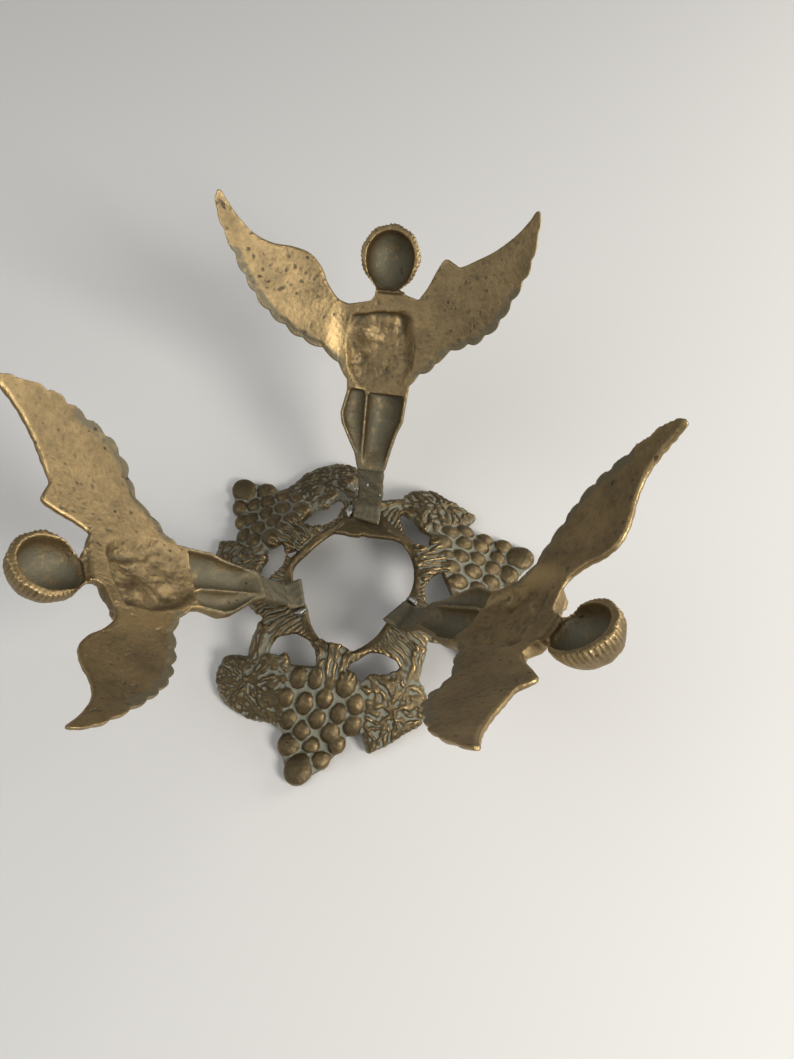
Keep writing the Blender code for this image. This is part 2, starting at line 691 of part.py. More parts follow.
def face_relief(x, y):
    """Brow, eyes, nose, lips and chin, on the usual thirds of a face, in shares of the head."""
    nose = 1.3 * math.exp(-((x / 0.09) ** 2)) * smooth((y + 0.22) / 0.08) * smooth((0.16 - y) / 0.20)
    brow = 0.5 * math.exp(-(((y - 0.16) / 0.08) ** 2)) * math.exp(-((x / 0.40) ** 4))
    eyes = 0.0
    for side in (-0.22, 0.22):
        eyes += math.exp(-(((x - side) / 0.13) ** 2) - ((y - 0.02) / 0.09) ** 2)
    lips = math.exp(-((x / 0.15) ** 2) - ((y + 0.34) / 0.06) ** 2)
    chin = math.exp(-((x / 0.18) ** 2) - ((y + 0.56) / 0.10) ** 2)
    return GRID * (nose + brow - 0.7 * eyes + 0.6 * lips + 0.7 * chin)


def joined(parts):
    """One mesh out of several sheets that share their border points."""
    whole = bmesh.new()
    whole.verts.layers.float.new("front")
    whole.verts.layers.float.new("back")
    for part in parts:
        mesh = bpy.data.meshes.new("sheet")
        part.to_mesh(mesh)
        part.free()
        whole.from_mesh(mesh)
        bpy.data.meshes.remove(mesh)
    bmesh.ops.remove_doubles(whole, verts=whole.verts, dist=0.00005)
    return whole


def thicken(bm):
    """Turn a sheet into a closed casting, from its front and back depths."""
    front = bm.verts.layers.float["front"]
    back = bm.verts.layers.float["back"]
    bmesh.ops.triangulate(bm, faces=bm.faces)
    raised = bmesh.ops.extrude_face_region(bm, geom=list(bm.faces))
    ahead = {v for v in raised["geom"] if isinstance(v, bmesh.types.BMVert)}
    for vert in bm.verts:
        vert.co.z = -vert[front] if vert in ahead else -vert[back]


def arm(side):
    """A draped arm, bent at the elbow, with the hands folded on the breast."""
    shoulder = (side * 10.0 + 1.0, 52.0, -5.0)
    elbow = (side * 10.5 + 1.0, 41.5, -7.6)
    wrist = (side * 4.0 + 1.2, 44.5, -9.2)
    hands = (side * 0.9 + 1.2, 49.0, -9.4)
    points = [tuple(c * GRID for c in p) for p in (shoulder, elbow, wrist, hands)]
    return tube("arm", points, [ARM_RADIUS * s for s in (1.0, 1.15, 0.85, 0.5)], 0.8, 6, 6, None)


def stance(lean):
    """The line up the figure's back: the flat tab, the steep ankle block, then the leaning body."""
    step = 0.4 * GRID
    start = -(ANKLE_LENGTH + TAB_LENGTH) - 4.0 * GRID

    def slope(along):
        up_block = ANKLE_ANGLE * smooth((along + ANKLE_LENGTH) / ANKLE_BEND + 0.5)
        to_body = (lean - ANKLE_ANGLE) * smooth(along / ANKLE_BEND + 0.5)
        return up_block + to_body

    def frame(along):
        radius = FOOT_RADIUS + ANKLE_LENGTH + start
        height = RING_RISE + RING_BAND_HEIGHT + GAP + TAB_THICKNESS
        if along > ANKLE_BEND:
            base_radius, base_height = frame(ANKLE_BEND)[:2]
            run = along - ANKLE_BEND
            return base_radius + math.cos(lean) * run, base_height + math.sin(lean) * run, lean
        count = max(1, round((along - start) / step))
        pace = (along - start) / count
        for i in range(count):
            angle = slope(start + pace * (i + 0.5))
            radius += math.cos(angle) * pace
            height += math.sin(angle) * pace
        return radius, height, slope(along)

    return frame


def angel(name, azimuth, outward, sideways, lean, tilt, twist):
    rows = body_rows()
    low = rows.index(WING_ROOT_LOW)
    left_rows = rows[low:rows.index(WING_ROOT_LEFT) + 1]
    right_rows = rows[low:rows.index(WING_ROOT_RIGHT) + 1]
    wings = [
        wing_sheet(LEFT_LEADING, LEFT_TRAILING, left_rows, 0),
        wing_sheet(RIGHT_LEADING, RIGHT_TRAILING, right_rows, 1),
    ]
    sheet = joined([body_sheet(), foot_sheet(), *wings])
    thicken(sheet)
    head = head_solid()
    thicken(head)
    base = object_from(sheet, name)
    pieces = [object_from(head, "head"), arm(-1.0), arm(1.0)]
    bm = thinned(fused(name, base, pieces), ANGEL_TRIANGLES)
    frame = stance(math.radians(lean))
    turn = Matrix.Rotation(math.radians(azimuth - 90.0), 3, "Z")
    pivot = Vector(TURNING_POINT)
    known = {}
    for vert in bm.verts:
        x, along, depth = vert.co
        key = round(along, 6)
        if key not in known:
            known[key] = frame(along)
        radius, height, angle = known[key]
        back = depth + (x - SWEEP_MIDDLE) ** 2 / (2.0 * SWEEP_RADIUS) * smooth(along / GRID / 20.0)
        away = radius + outward - math.sin(angle) * back
        point = Vector((x + sideways, away, height + math.cos(angle) * back))
        share = smooth(along / ANKLE_LENGTH + 1.0)
        lie = Matrix.Rotation(math.radians(twist) * share, 3, "Z")
        lie = lie @ Matrix.Rotation(math.radians(tilt) * share, 3, "Y")
        vert.co = turn @ (pivot + lie @ (point - pivot))
    return object_from(bm, name)


def solder(name, azimuth, outward, sideways):
    """A bead of solder along the edge of the foot tab, on the ring."""
    bm = bmesh.new()
    bmesh.ops.create_icosphere(bm, subdivisions=2, radius=SOLDER_RADIUS)
    for vert in bm.verts:
        vert.co.x *= 0.8
        vert.co.y *= 1.3 + 0.2 * math.sin(vert.co.x / GRID * 1.9)
        vert.co.z = max(vert.co.z * 0.9, 0.0)
    edge = body_sides(0.0)[0] + sideways - 0.6 * GRID - GAP - SOLDER_RADIUS * 0.8
    radius = FOOT_RADIUS + outward - TAB_LENGTH * 0.2
    place = Vector((edge, radius, dome_height(radius) + RING_BAND_HEIGHT + GAP))
    bmesh.ops.translate(bm, verts=bm.verts, vec=place)
    turn = Matrix.Rotation(math.radians(azimuth - 90.0), 3, "Z")
    bmesh.ops.rotate(bm, verts=bm.verts, cent=(0.0, 0.0, 0.0), matrix=turn)
    bmesh.ops.remove_doubles(bm, verts=bm.verts, dist=0.00002)
    bmesh.ops.dissolve_limit(bm, angle_limit=0.01, verts=bm.verts, edges=bm.edges)
    bmesh.ops.triangulate(bm, faces=bm.faces)
    return object_from(bm, name)


def centre(objects):
    """Move everything so that the middle of the holder's footprint is the origin."""
    points = [vert.co for obj in objects for vert in obj.data.vertices]
    x = (min(p.x for p in points) + max(p.x for p in points)) / 2.0
    y = (min(p.y for p in points) + max(p.y for p in points)) / 2.0
    for obj in objects:
        obj.data.transform(Matrix.Translation((-x, -y, 0.0)))


def build():
    clear_scene()
    brass = material("antique brass", (0.36, 0.25, 0.11), 1.0, 0.45)
    patina = material("brown brass", (0.22, 0.16, 0.09), 0.9, 0.55)
    tin = material("solder", (0.55, 0.54, 0.50), 1.0, 0.35)
    made = [(grape_wreath(), patina)]
    for name, azimuth, outward, sideways, *posture in ANGELS:
        made.append((angel(name, azimuth, outward, sideways, *posture), brass))
        made.append((solder(name.replace("angel", "solder"), azimuth, outward, sideways), tin))
    for obj, mat in made:
        obj.data.materials.append(mat)
        obj.data.shade_smooth()
        obj.data.set_sharp_from_angle(angle=math.radians(35.0))
    centre([obj for obj, _ in made])


build()
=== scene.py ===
"""Looks of the angel candle holder: three cast brass angels on a raised ring of grapes and vine leaves.

Each casting is drawn flat, as a caster's pattern is, and then bent: the wreath down its dome, and an angel
along its stance. Lengths are metres, +Z is up, and the origin is the middle of the footprint.
"""

import math

import bmesh
import bpy
import numpy as np
from mathutils import Matrix, Vector, noise


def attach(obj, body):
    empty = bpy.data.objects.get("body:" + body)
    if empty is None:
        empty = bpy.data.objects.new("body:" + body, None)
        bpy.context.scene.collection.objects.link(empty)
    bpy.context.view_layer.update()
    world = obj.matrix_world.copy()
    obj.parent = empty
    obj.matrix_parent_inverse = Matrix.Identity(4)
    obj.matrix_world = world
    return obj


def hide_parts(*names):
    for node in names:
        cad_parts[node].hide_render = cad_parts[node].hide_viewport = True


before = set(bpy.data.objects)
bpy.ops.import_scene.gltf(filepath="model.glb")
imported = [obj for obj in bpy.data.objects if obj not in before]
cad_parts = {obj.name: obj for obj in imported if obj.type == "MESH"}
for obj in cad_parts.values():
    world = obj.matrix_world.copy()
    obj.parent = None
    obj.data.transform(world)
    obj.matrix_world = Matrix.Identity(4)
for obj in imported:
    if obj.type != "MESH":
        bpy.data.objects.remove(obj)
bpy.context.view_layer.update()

MM = 0.001
GAP = 0.0003

# Voxel of an angel's skin, how much coarser the wreath's is, and the share of its triangles that is kept
FINE = 0.00035
WREATH_COARSER = 1.12
KEPT_SHARE = 0.69

# Where the axis of the ring lies in the model's frame, and the camera and its lens, set to the photograph
AXIS_X = 0.0016066
AXIS_Y = -0.0103743
CAMERA_PLACE = (0.03081, -0.10583, 0.26547)
CAMERA_YAW = math.radians(8.192)
CAMERA_DOWN = math.radians(62.614)
CAMERA_ROLL = math.radians(-0.93)
LENS_MM = 27.12
SENSOR_MM = 36.0

# The ring and its dome
SECTIONS = 3
RING_RISE = 0.0140
PLATE = 0.0024
FLAT_RADIUS = 0.0265
REST_RADIUS = 0.0550
RING_OPENING_RADIUS = 0.0212
RING_BAND = 0.0034
RING_BAND_HEIGHT = 0.0026

# The branches and leaves
BRANCH_RADIUS = 0.0026
TWIG_RADIUS = 0.0019
BARK_DEPTH = 0.00042
BARK_RIDGES = 96
BARK_REACH = 0.0300
GRAPE_SEAT = 0.0021
GRAPE_SHAPE = (1.04, 1.20)
GRAPE_HEIGHT = 0.82
TIP_GRAPE_HEIGHT = 0.62
GRAPE_LEAN = math.radians(-20.0)
LEAF_THICKNESS = 0.0027
LEAF_LOBES = 5
LEAF_TEETH = 34.0
TOOTH = 0.00055
VEIN_HEIGHT = 0.0010
VEIN_WIDTH = 0.00055
RIB_PITCH = 0.00042

# The angel
ANKLE_ANGLE = math.radians(62.0)
ANKLE_BEND = 0.0035
ANKLE_LENGTH = 0.0156
TAB_LENGTH = 0.0042
TAB_THICKNESS = 0.0018
BLOCK_THICKNESS = 0.0034
FOOT_RADIUS = 0.0228
RIM = 0.0018
WALL = 0.0014
WING_THICKNESS = 0.0016
SWEEP_RADIUS = 0.065
SWEEP_MIDDLE = -0.0010
HEAD_HALF_WIDTH = 0.0096
HEAD_HALF_HEIGHT = 0.0104
HEAD_CENTRE = 0.0692
HEAD_MIDDLE = 0.0016
HEAD_DEPTH = 0.0090
HAIR_STRANDS = 46
HAIR_RIDGE = 0.00022
NECK_HOLLOW = 0.0013
CHEST_DEPTH = 0.0066
RECESS_DEPTH = 0.0021
LEG_DIVIDE = -0.0022
LEG_OVERLAP = 0.0006
BLOCK_STEP = 0.0005
ARM_RADIUS = 0.0023
ARM_FOLDS = 0.00022
SOLDER_RADIUS = 0.0016
NECK_TOP = 0.0594
KNEE_LEDGE = 0.0250
FEATHERS = 11
FEATHER_BULGE = 0.0006
FEATHER_RELIEF = 0.0006
STRIP_WIDTH = 0.0018
ROOT_LOW = 0.0295
ROOT_MIDDLE = 0.0425
ROOT_LEFT = 0.0540
ROOT_RIGHT = 0.0572

# The edges of the wings, from root to tip, in grid squares
LEFT_LEADING = (
    (-10.6, 54.0), (-14.2, 55.4), (-17.6, 59.6), (-19.8, 64.2), (-23.6, 68.1), (-28.8, 69.6),
    (-34.6, 69.9), (-40.0, 71.9), (-44.4, 76.0), (-47.4, 80.0), (-49.3, 83.2),
)
LEFT_TRAILING = (
    (-9.2, 29.5), (-12.6, 34.5), (-18.0, 38.8), (-24.5, 41.4), (-30.0, 45.0), (-35.0, 49.0),
    (-39.0, 54.0), (-42.0, 59.0), (-45.0, 65.0), (-48.0, 71.5), (-50.0, 77.0), (-50.5, 82.2),
)
RIGHT_LEADING = (
    (12.0, 57.2), (14.6, 61.2), (17.0, 66.5), (19.4, 70.2), (22.6, 69.0), (24.6, 68.2),
    (29.5, 70.6), (34.5, 73.4), (40.0, 78.0), (43.4, 82.2), (45.1, 85.4),
)
RIGHT_TRAILING = (
    (11.8, 29.5), (14.5, 33.2), (19.0, 36.3), (23.0, 41.2), (28.0, 44.0), (32.5, 46.0),
    (37.2, 50.5), (40.0, 55.5), (42.4, 61.0), (44.6, 66.5), (45.9, 72.0), (46.5, 79.0), (46.4, 84.8),
)

# Each angel as it was soldered on by hand: node, direction, how far its foot lies outward and to the side,
# then its lean, tilt and twist; the angles are in degrees
ANGELS = (
    ("angel_back", 89.5, 0.0047, 0.0, 41.7, 0.0, 0.0),
    ("angel_left", 209.8, -0.0020, 0.0018, 47.0, 0.2, -2.2),
    ("angel_right", 330.7, -0.0012, -0.0008, 51.0, -1.6, 0.2),
)
TURNING_POINT = (0.0014, 0.0266, 0.0185)

# Splashes of solder on the back angel's block, in grid squares: place across and up, and radius
SPLASHES = ((0.6, -6.6, 0.80), (-2.9, -8.6, 0.75), (-3.0, -10.6, 0.60), (4.9, -10.0, 0.45))


# Curves and small sums


def smooth(value):
    t = min(max(value, 0.0), 1.0)
    return t * t * (3.0 - 2.0 * t)


def smooth_all(values):
    t = np.clip(values, 0.0, 1.0)
    return t * t * (3.0 - 2.0 * t)


def mix(a, b, t):
    return a + (b - a) * t


def bell(x, middle, width):
    return math.exp(-(((x - middle) / width) ** 2))


def curve_at(points, at):
    """The value at a place on the smooth curve through (place, value) points."""
    if at <= points[0][0]:
        return points[0][1]
    for i in range(len(points) - 1):
        here, after = points[i], points[i + 1]
        if at <= after[0]:
            before = points[max(i - 1, 0)]
            beyond = points[min(i + 2, len(points) - 1)]
            span = after[0] - here[0]
            t = (at - here[0]) / span
            start = (after[1] - before[1]) / (after[0] - before[0]) * span
            end = (beyond[1] - here[1]) / (beyond[0] - here[0]) * span
            return (
                (2 * t ** 3 - 3 * t ** 2 + 1) * here[1]
                + (t ** 3 - 2 * t ** 2 + t) * start
                + (3 * t ** 2 - 2 * t ** 3) * after[1]
                + (t ** 3 - t ** 2) * end
            )
    return points[-1][1]


def straight_at(points, at):
    """The value at a place on the broken line through (place, value) points."""
    for here, after in zip(points, points[1:]):
        if at <= after[0]:
            return mix(here[1], after[1], max(0.0, (at - here[0]) / (after[0] - here[0])))
    return points[-1][1]


def arch(x, left, right):
    """A round arch of height 1 between two sides, 0 outside them."""
    t = (x - left) / (right - left)
    return math.sqrt(max(0.0, 4.0 * t * (1.0 - t)))


def path_point(points, t):
    """The point at t (0 to 1) on a smooth path through 3-D points."""
    count = len(points) - 1
    places = [(i / count, p) for i, p in enumerate(points)]
    return Vector([curve_at([(s, p[k]) for s, p in places], t) for k in range(3)])


# Making and finishing a casting


def new_mesh(bm, name):
    bmesh.ops.recalc_face_normals(bm, faces=bm.faces)
    if bm.calc_volume(signed=True) < 0.0:
        bmesh.ops.reverse_faces(bm, faces=bm.faces)
    mesh = bpy.data.meshes.new(name)
    bm.to_mesh(mesh)
    bm.free()
    return mesh


def add_object(name, data):
    obj = bpy.data.objects.new(name, data)
    bpy.context.collection.objects.link(obj)
    return obj


def raised_verts(result):
    return [v for v in result["geom"] if isinstance(v, bmesh.types.BMVert)]


def disc(spokes, rings, share_at):
    """A flat round disc of radius 1 whose ring number k lies at share_at(k) from the middle."""
    bm = bmesh.new()
    bmesh.ops.create_circle(bm, cap_ends=True, segments=spokes, radius=1.0)
    lid = list(bm.faces)
    share = 1.0
    for k in range(1, rings):
        bmesh.ops.inset_individual(bm, faces=lid, thickness=0.0)
        wanted = share_at(k)
        bmesh.ops.scale(bm, verts=list(lid[0].verts), vec=(wanted / share, wanted / share, 1.0))
        share = wanted
    bmesh.ops.poke(bm, faces=lid)
    return bm


def cast_in_one(solids, name, voxel):
    """One skin round all the solids that overlap, like metal poured into one mould."""
    whole = bmesh.new()
    for solid in solids:
        mesh = new_mesh(solid, "pattern")
        whole.from_mesh(mesh)
        bpy.data.meshes.remove(mesh)
    mesh = bpy.data.meshes.new(name)
    whole.to_mesh(mesh)
    whole.free()
    obj = add_object(name, mesh)
    skin = obj.modifiers.new("skin", "REMESH")
    skin.mode = "VOXEL"
    skin.voxel_size = voxel
    skin.adaptivity = 0.0
    view = bpy.context.evaluated_depsgraph_get()
    cast = bpy.data.meshes.new_from_object(obj.evaluated_get(view))
    bpy.data.objects.remove(obj)
    bpy.data.meshes.remove(mesh)
    return cast


def triples(items, key):
    values = np.empty(len(items) * 3)
    items.foreach_get(key, values)
    return values.reshape(-1, 3)


def places_of(mesh):
    return triples(mesh.vertices, "co")


def facings_of(mesh):
    return triples(mesh.vertex_normals, "vector")


def set_places(mesh, places):
    mesh.vertices.foreach_set("co", places.ravel())
    mesh.update()


def edges_of(mesh):
    ends = np.empty(len(mesh.edges) * 2, dtype=np.int32)
    mesh.edges.foreach_get("vertices", ends)
    return ends.reshape(-1, 2)


def neighbour_mean(values, ends, rounds):
    """Values averaged over their neighbours, several times over."""
    a, b = ends[:, 0], ends[:, 1]
    count = len(values)
    shares = np.bincount(a, minlength=count) + np.bincount(b, minlength=count)
    for _ in range(rounds):
        total = [
            np.bincount(a, values[b, k], count) + np.bincount(b, values[a, k], count)
            for k in range(values.shape[1])
        ]
        values = 0.5 * values + 0.5 * np.stack(total, axis=1) / shares[:, None]
    return values


def store(mesh, name, values):
    layer = mesh.attributes.new(name, "FLOAT", "POINT")
    layer.data.foreach_set("value", values.astype(np.float32))


def mark_hollows(mesh, ends, rounds=14, unit=0.00022):
    """Keep on each point how far it lies in a groove (below 0) or out on an edge (above 0)."""
    places = places_of(mesh)
    mean = neighbour_mean(places, ends, rounds)
    depth = ((places - mean) * facings_of(mesh)).sum(axis=1) / unit
    depth = neighbour_mean(depth[:, None], ends, 1)[:, 0]
    store(mesh, "relief", np.clip(depth, -1.0, 1.0))


def grain(places, shift, size):
    """A smooth random height from -1 to 1 at each place, with bumps of about this size."""
    offset = Vector((shift, shift * 1.7, shift * 0.4))
    return np.array([noise.noise(Vector(p) / size + offset * 40.0) for p in places])


# The wreath


def dome_height(radius):
    t = min(max((radius - FLAT_RADIUS) / (REST_RADIUS - FLAT_RADIUS), 0.0), 1.0)
    return RING_RISE * (1.0 - mix(t, smooth(t), 0.45))


def onto_dome(places):
    """Carry points of the flat drawing to the dome, along the dome's own normal."""
    step = 0.0004
    radius = np.hypot(places[:, 0], places[:, 1])
    under = np.array([dome_height(r) for r in radius])
    slope = np.array([dome_height(r + step) - dome_height(r - step) for r in radius]) / (2.0 * step)
    slope[radius > REST_RADIUS] = 0.0
    length = np.hypot(1.0, slope)
    away = -slope / length * places[:, 2] / np.maximum(radius, step)
    result = np.empty_like(places)
    result[:, 0] = places[:, 0] * (1.0 + away)
    result[:, 1] = places[:, 1] * (1.0 + away)
    result[:, 2] = under + places[:, 2] / length
    return result


def slab(outline, thickness):
    """A flat plate with its underside at z = 0."""
    bm = bmesh.new()
    face = bm.faces.new([bm.verts.new((x, y, 0.0)) for x, y in outline])
    verts = raised_verts(bmesh.ops.extrude_face_region(bm, geom=[face]))
    bmesh.ops.translate(bm, verts=verts, vec=(0.0, 0.0, thickness))
    return bm


def grape(x, y, radius):
    """A berry, pressed against its neighbours, that swells out of the plate."""
    bm = bmesh.new()
    bmesh.ops.create_uvsphere(bm, u_segments=28, v_segments=18, radius=radius)
    flattened = mix(GRAPE_HEIGHT, TIP_GRAPE_HEIGHT, smooth((radius - 0.0036) / 0.0010))
    bmesh.ops.scale(bm, verts=bm.verts, vec=(*GRAPE_SHAPE, flattened))
    lean = Matrix.Rotation(GRAPE_LEAN, 3, "Z")
    bmesh.ops.rotate(bm, verts=bm.verts, cent=(0.0, 0.0, 0.0), matrix=lean)
    bmesh.ops.translate(bm, verts=bm.verts, vec=(x, y, GRAPE_SEAT))
    cut = bmesh.ops.bisect_plane(
        bm, geom=[*bm.verts, *bm.edges, *bm.faces], plane_co=(0.0, 0.0, 0.0),
        plane_no=(0.0, 0.0, -1.0), clear_outer=True,
    )
    rim = [e for e in cut["geom_cut"] if isinstance(e, bmesh.types.BMEdge)]
    bmesh.ops.edgeloop_fill(bm, edges=rim)
    return bm


# Drawn in grid squares of a millimetre: where each grape lies and its radius, then the outlines
GRAPES = (
    (-12.0, -32.9, 3.0), (-6.6, -32.7, 2.9), (-1.9, -33.4, 2.3), (3.0, -33.4, 3.4), (-15.8, -38.8, 3.0),
    (-9.3, -40.0, 3.1), (-3.2, -38.0, 2.9), (1.8, -41.8, 3.0), (6.6, -38.6, 3.1), (-14.2, -45.0, 3.1),
    (-5.0, -43.9, 3.0), (6.4, -44.4, 3.2), (-9.6, -48.2, 3.2), (-0.3, -47.5, 3.2), (-13.2, -53.3, 3.9),
    (-6.1, -52.7, 3.1), (2.0, -51.0, 2.9), (-2.4, -57.0, 3.1), (-8.9, -60.9, 4.6),
)
BUNCH_PLATE = (
    (5.4, -31.4), (7.6, -33.4), (11.0, -40.0), (9.2, -46.4), (5.0, -48.2), (3.4, -52.8), (0.6, -56.5),
    (-2.0, -60.2), (-5.4, -62.8), (-9.2, -65.0), (-13.0, -62.0), (-14.6, -58.5), (-16.4, -54.0),
    (-16.0, -49.0), (-17.8, -43.0), (-19.5, -36.0), (-15.5, -29.5), (-6.0, -29.6), (2.5, -30.0),
)
LEFT_LEAF = (
    (-27.0, -28.0), (-31.0, -27.6), (-35.0, -26.9), (-38.5, -27.2), (-40.3, -29.0), (-41.4, -33.0),
    (-40.7, -38.0), (-38.0, -42.0), (-34.0, -44.4), (-29.5, -45.9), (-25.5, -46.6), (-21.0, -46.8),
    (-16.5, -48.6), (-14.0, -44.0), (-15.5, -36.0), (-15.0, -30.5), (-19.0, -28.2), (-23.5, -26.6),
)
LEFT_LEAF_VEINS = (-29.2, -34.2)
LEFT_LEAF_TURN = math.radians(190.0)
RIGHT_LEAF = (
    (7.0, -33.8), (8.6, -32.0), (10.5, -30.0), (15.0, -29.5), (19.5, -27.0), (22.5, -28.0), (25.0, -28.5),
    (28.0, -32.0), (28.8, -36.0), (28.3, -40.0), (27.0, -42.0), (24.0, -44.0), (21.0, -46.5),
    (17.5, -49.5), (14.5, -51.2), (12.2, -52.2), (9.6, -46.5), (8.5, -40.0),
)
RIGHT_LEAF_VEINS = (18.0, -38.6)
RIGHT_LEAF_TURN = math.radians(-50.0)

# The two flat trunks of a section, from directions on the ring's edge out to the leaves
LEFT_TRUNK_RING = (211.0, 219.0, 228.0, 240.0, 252.0)
LEFT_TRUNK = (
    (-8.3, -23.7), (-12.0, -21.5), (-16.0, -20.0), (-22.0, -21.3), (-24.0, -24.5), (-24.0, -27.0),
    (-24.5, -31.0), (-30.0, -31.0), (-31.0, -27.0), (-30.3, -21.0), (-28.6, -16.5), (-26.9, -14.6),
)
RIGHT_TRUNK_RING = (285.0, 297.0, 308.0, 320.0, 334.0)
RIGHT_TRUNK = (
    (27.2, -14.8), (26.6, -20.0), (25.8, -26.0), (25.0, -31.0), (20.0, -31.0), (19.5, -26.5),
    (18.0, -24.5), (14.0, -23.3), (9.0, -23.5), (5.0, -25.3),
)


def closed_curve(points, t):
    """The point at t (0 to 1) round a smooth closed outline, in metres."""
    count = len(points)
    i = int(t * count) % count
    u = t * count - int(t * count)
    p0, p1, p2, p3 = (Vector(points[(i + k) % count]) for k in (-1, 0, 1, 2))
    blend = 0.5 * (
        2.0 * p1 + (p2 - p0) * u + (2.0 * p0 - 5.0 * p1 + 4.0 * p2 - p3) * u ** 2
        + (3.0 * p1 - p0 - 3.0 * p2 + p3) * u ** 3
    )
    return blend * MM


def leaf(outline, stalk, turn):
    """A vine leaf: toothed outline, raised branching veins and swelling fields between them."""
    rings = 30
    bm = disc(168, rings, lambda k: 1.0 - k / rings)
    top = set(raised_verts(bmesh.ops.extrude_face_region(bm, geom=list(bm.faces))))
    middle = Vector(stalk) * MM
    for vert in bm.verts:
        share = min(math.hypot(vert.co.x, vert.co.y), 1.0)
        angle = math.atan2(vert.co.y, vert.co.x)
        t = (-angle / (2.0 * math.pi)) % 1.0
        rim = closed_curve(outline, t)
        reach = rim - middle
        tooth = TOOTH * abs(math.sin(math.pi * LEAF_TEETH * t)) * smooth(share * 3.0 - 1.6)
        flat = middle + reach * share + reach.normalized() * tooth
        height = 0.0
        if vert in top:
            distance = reach.length * share
            bearing = math.atan2(reach.y, reach.x) - turn
            bearing += 0.5 * noise.noise(flat.to_3d() / 0.0060)
            swing = math.acos(max(-1.0, min(1.0, math.cos(LEAF_LOBES * bearing)))) / LEAF_LOBES
            off = distance * math.sin(min(swing, math.pi / 2.0))
            vein = bell(off, 0.0, VEIN_WIDTH) * smooth(1.4 - share)
            wander = 1.5 * noise.noise(flat.to_3d() / 0.0032)
            side = 0.5 + 0.5 * math.cos((distance * 1.25 - off * 1.9) / RIB_PITCH + wander)
            field = bell(off, 0.0024, 0.0022)
            crumple = 1.0 - 3.0 * abs(noise.noise(flat.to_3d() / 0.0034))
            crumple += 0.5 - 1.6 * abs(noise.noise(flat.to_3d() / 0.0017 + Vector((7.0, 3.0, 1.0))))
            height = LEAF_THICKNESS * mix(1.0, 0.72, smooth(share * 4.0 - 3.0))
            ribs = 1.1 * vein + 0.62 * side * smooth(off / 0.001)
            height += VEIN_HEIGHT * (ribs + 0.5 * field + 0.45 * crumple)
            between = bell(swing * LEAF_LOBES, math.pi, 0.5)
            height -= VEIN_HEIGHT * 0.4 * between * smooth(share * 2.0 - 0.2)
        vert.co = (flat.x, flat.y, height)
    return bm


def tube(points, radii, flat, bark, sides=44, steps=70):
    """A tapered branch along a smooth path, with grooved bark that winds a little."""
    bm = bmesh.new()
    loops = []
    for k in range(steps + 1):
        t = k / steps
        here = path_point(points, t)
        ahead = path_point(points, min(t + 0.02, 1.0)) - path_point(points, max(t - 0.02, 0.0))
        across = Vector((-ahead.y, ahead.x, 0.0)).normalized()
        up = Vector((0.0, 0.0, 1.0))
        radius = curve_at([(i / (len(radii) - 1), r) for i, r in enumerate(radii)], t)
        ring = []
        for i in range(sides):
            angle = 2.0 * math.pi * i / sides
            wander = 0.9 * noise.noise(Vector((math.cos(angle), math.sin(angle), t * 5.0)))
            groove = math.sin(7.0 * angle + 3.2 * t + 3.0 * wander)
            reach = radius + bark * (groove + 0.8 * wander)
            offset = across * math.cos(angle) * reach + up * math.sin(angle) * reach * flat
            ring.append(bm.verts.new(here + offset))
        edges = [bm.edges.new((ring[i], ring[(i + 1) % sides])) for i in range(sides)]
        loops.append(edges)
        if k in (0, steps):
            bm.faces.new(ring)
    for before, after in zip(loops, loops[1:]):
        bmesh.ops.bridge_loops(bm, edges=[*before, *after])
    return bm


def on_plate(bm):
    """Press a solid's underside flat onto the plate's own underside."""
    for vert in bm.verts:
        vert.co.z = max(vert.co.z, 0.0)
    return bm


def branches():
    """The stem of the bunch and the boughs that run from the ring to the leaves."""
    high = PLATE * 0.6
    bough = (1.15, 1.0, 0.95, 0.35)
    twig = (1.1, 1.0, 0.7)
    routes = (
        (((-2.2, -22.5), (-2.6, -27.0), (-3.0, -33.0)), (1.3, 1.0, 0.9), BRANCH_RADIUS),
        (((-25.8, -17.6), (-27.2, -21.5), (-28.4, -27.5), LEFT_LEAF_VEINS), bough, BRANCH_RADIUS),
        (((24.2, -18.6), (23.6, -23.0), (22.8, -28.0), RIGHT_LEAF_VEINS), bough, BRANCH_RADIUS),
        (((-8.5, -22.0), (-6.3, -25.0), (-5.8, -30.5)), twig, TWIG_RADIUS),
        (((3.5, -24.5), (1.6, -27.0), (0.8, -31.0)), twig, TWIG_RADIUS),
        (((-17.0, -27.2), (-20.6, -29.4), (-24.5, -31.0)), (0.8, 1.1, 0.7), TWIG_RADIUS),
    )
    made = []
    for route, sizes, radius in routes:
        points = [(x * MM, y * MM, high) for x, y in route]
        made.append(on_plate(tube(points, [radius * s for s in sizes], 0.8, BARK_DEPTH)))
    return made


def ring_edge(angle):
    """Distance from the axis to the hand-finished edge of the opening, at an angle in degrees."""
    shares = (
        (0, 0.95), (30, 1.03), (60, 1.07), (90, 1.17), (118, 0.96), (150, 0.91), (175, 0.99),
        (215, 0.82), (240, 0.98), (268, 1.17), (295, 1.02), (318, 0.86), (345, 0.90), (360, 0.95),
    )
    return RING_OPENING_RADIUS * curve_at(shares, angle % 360.0)


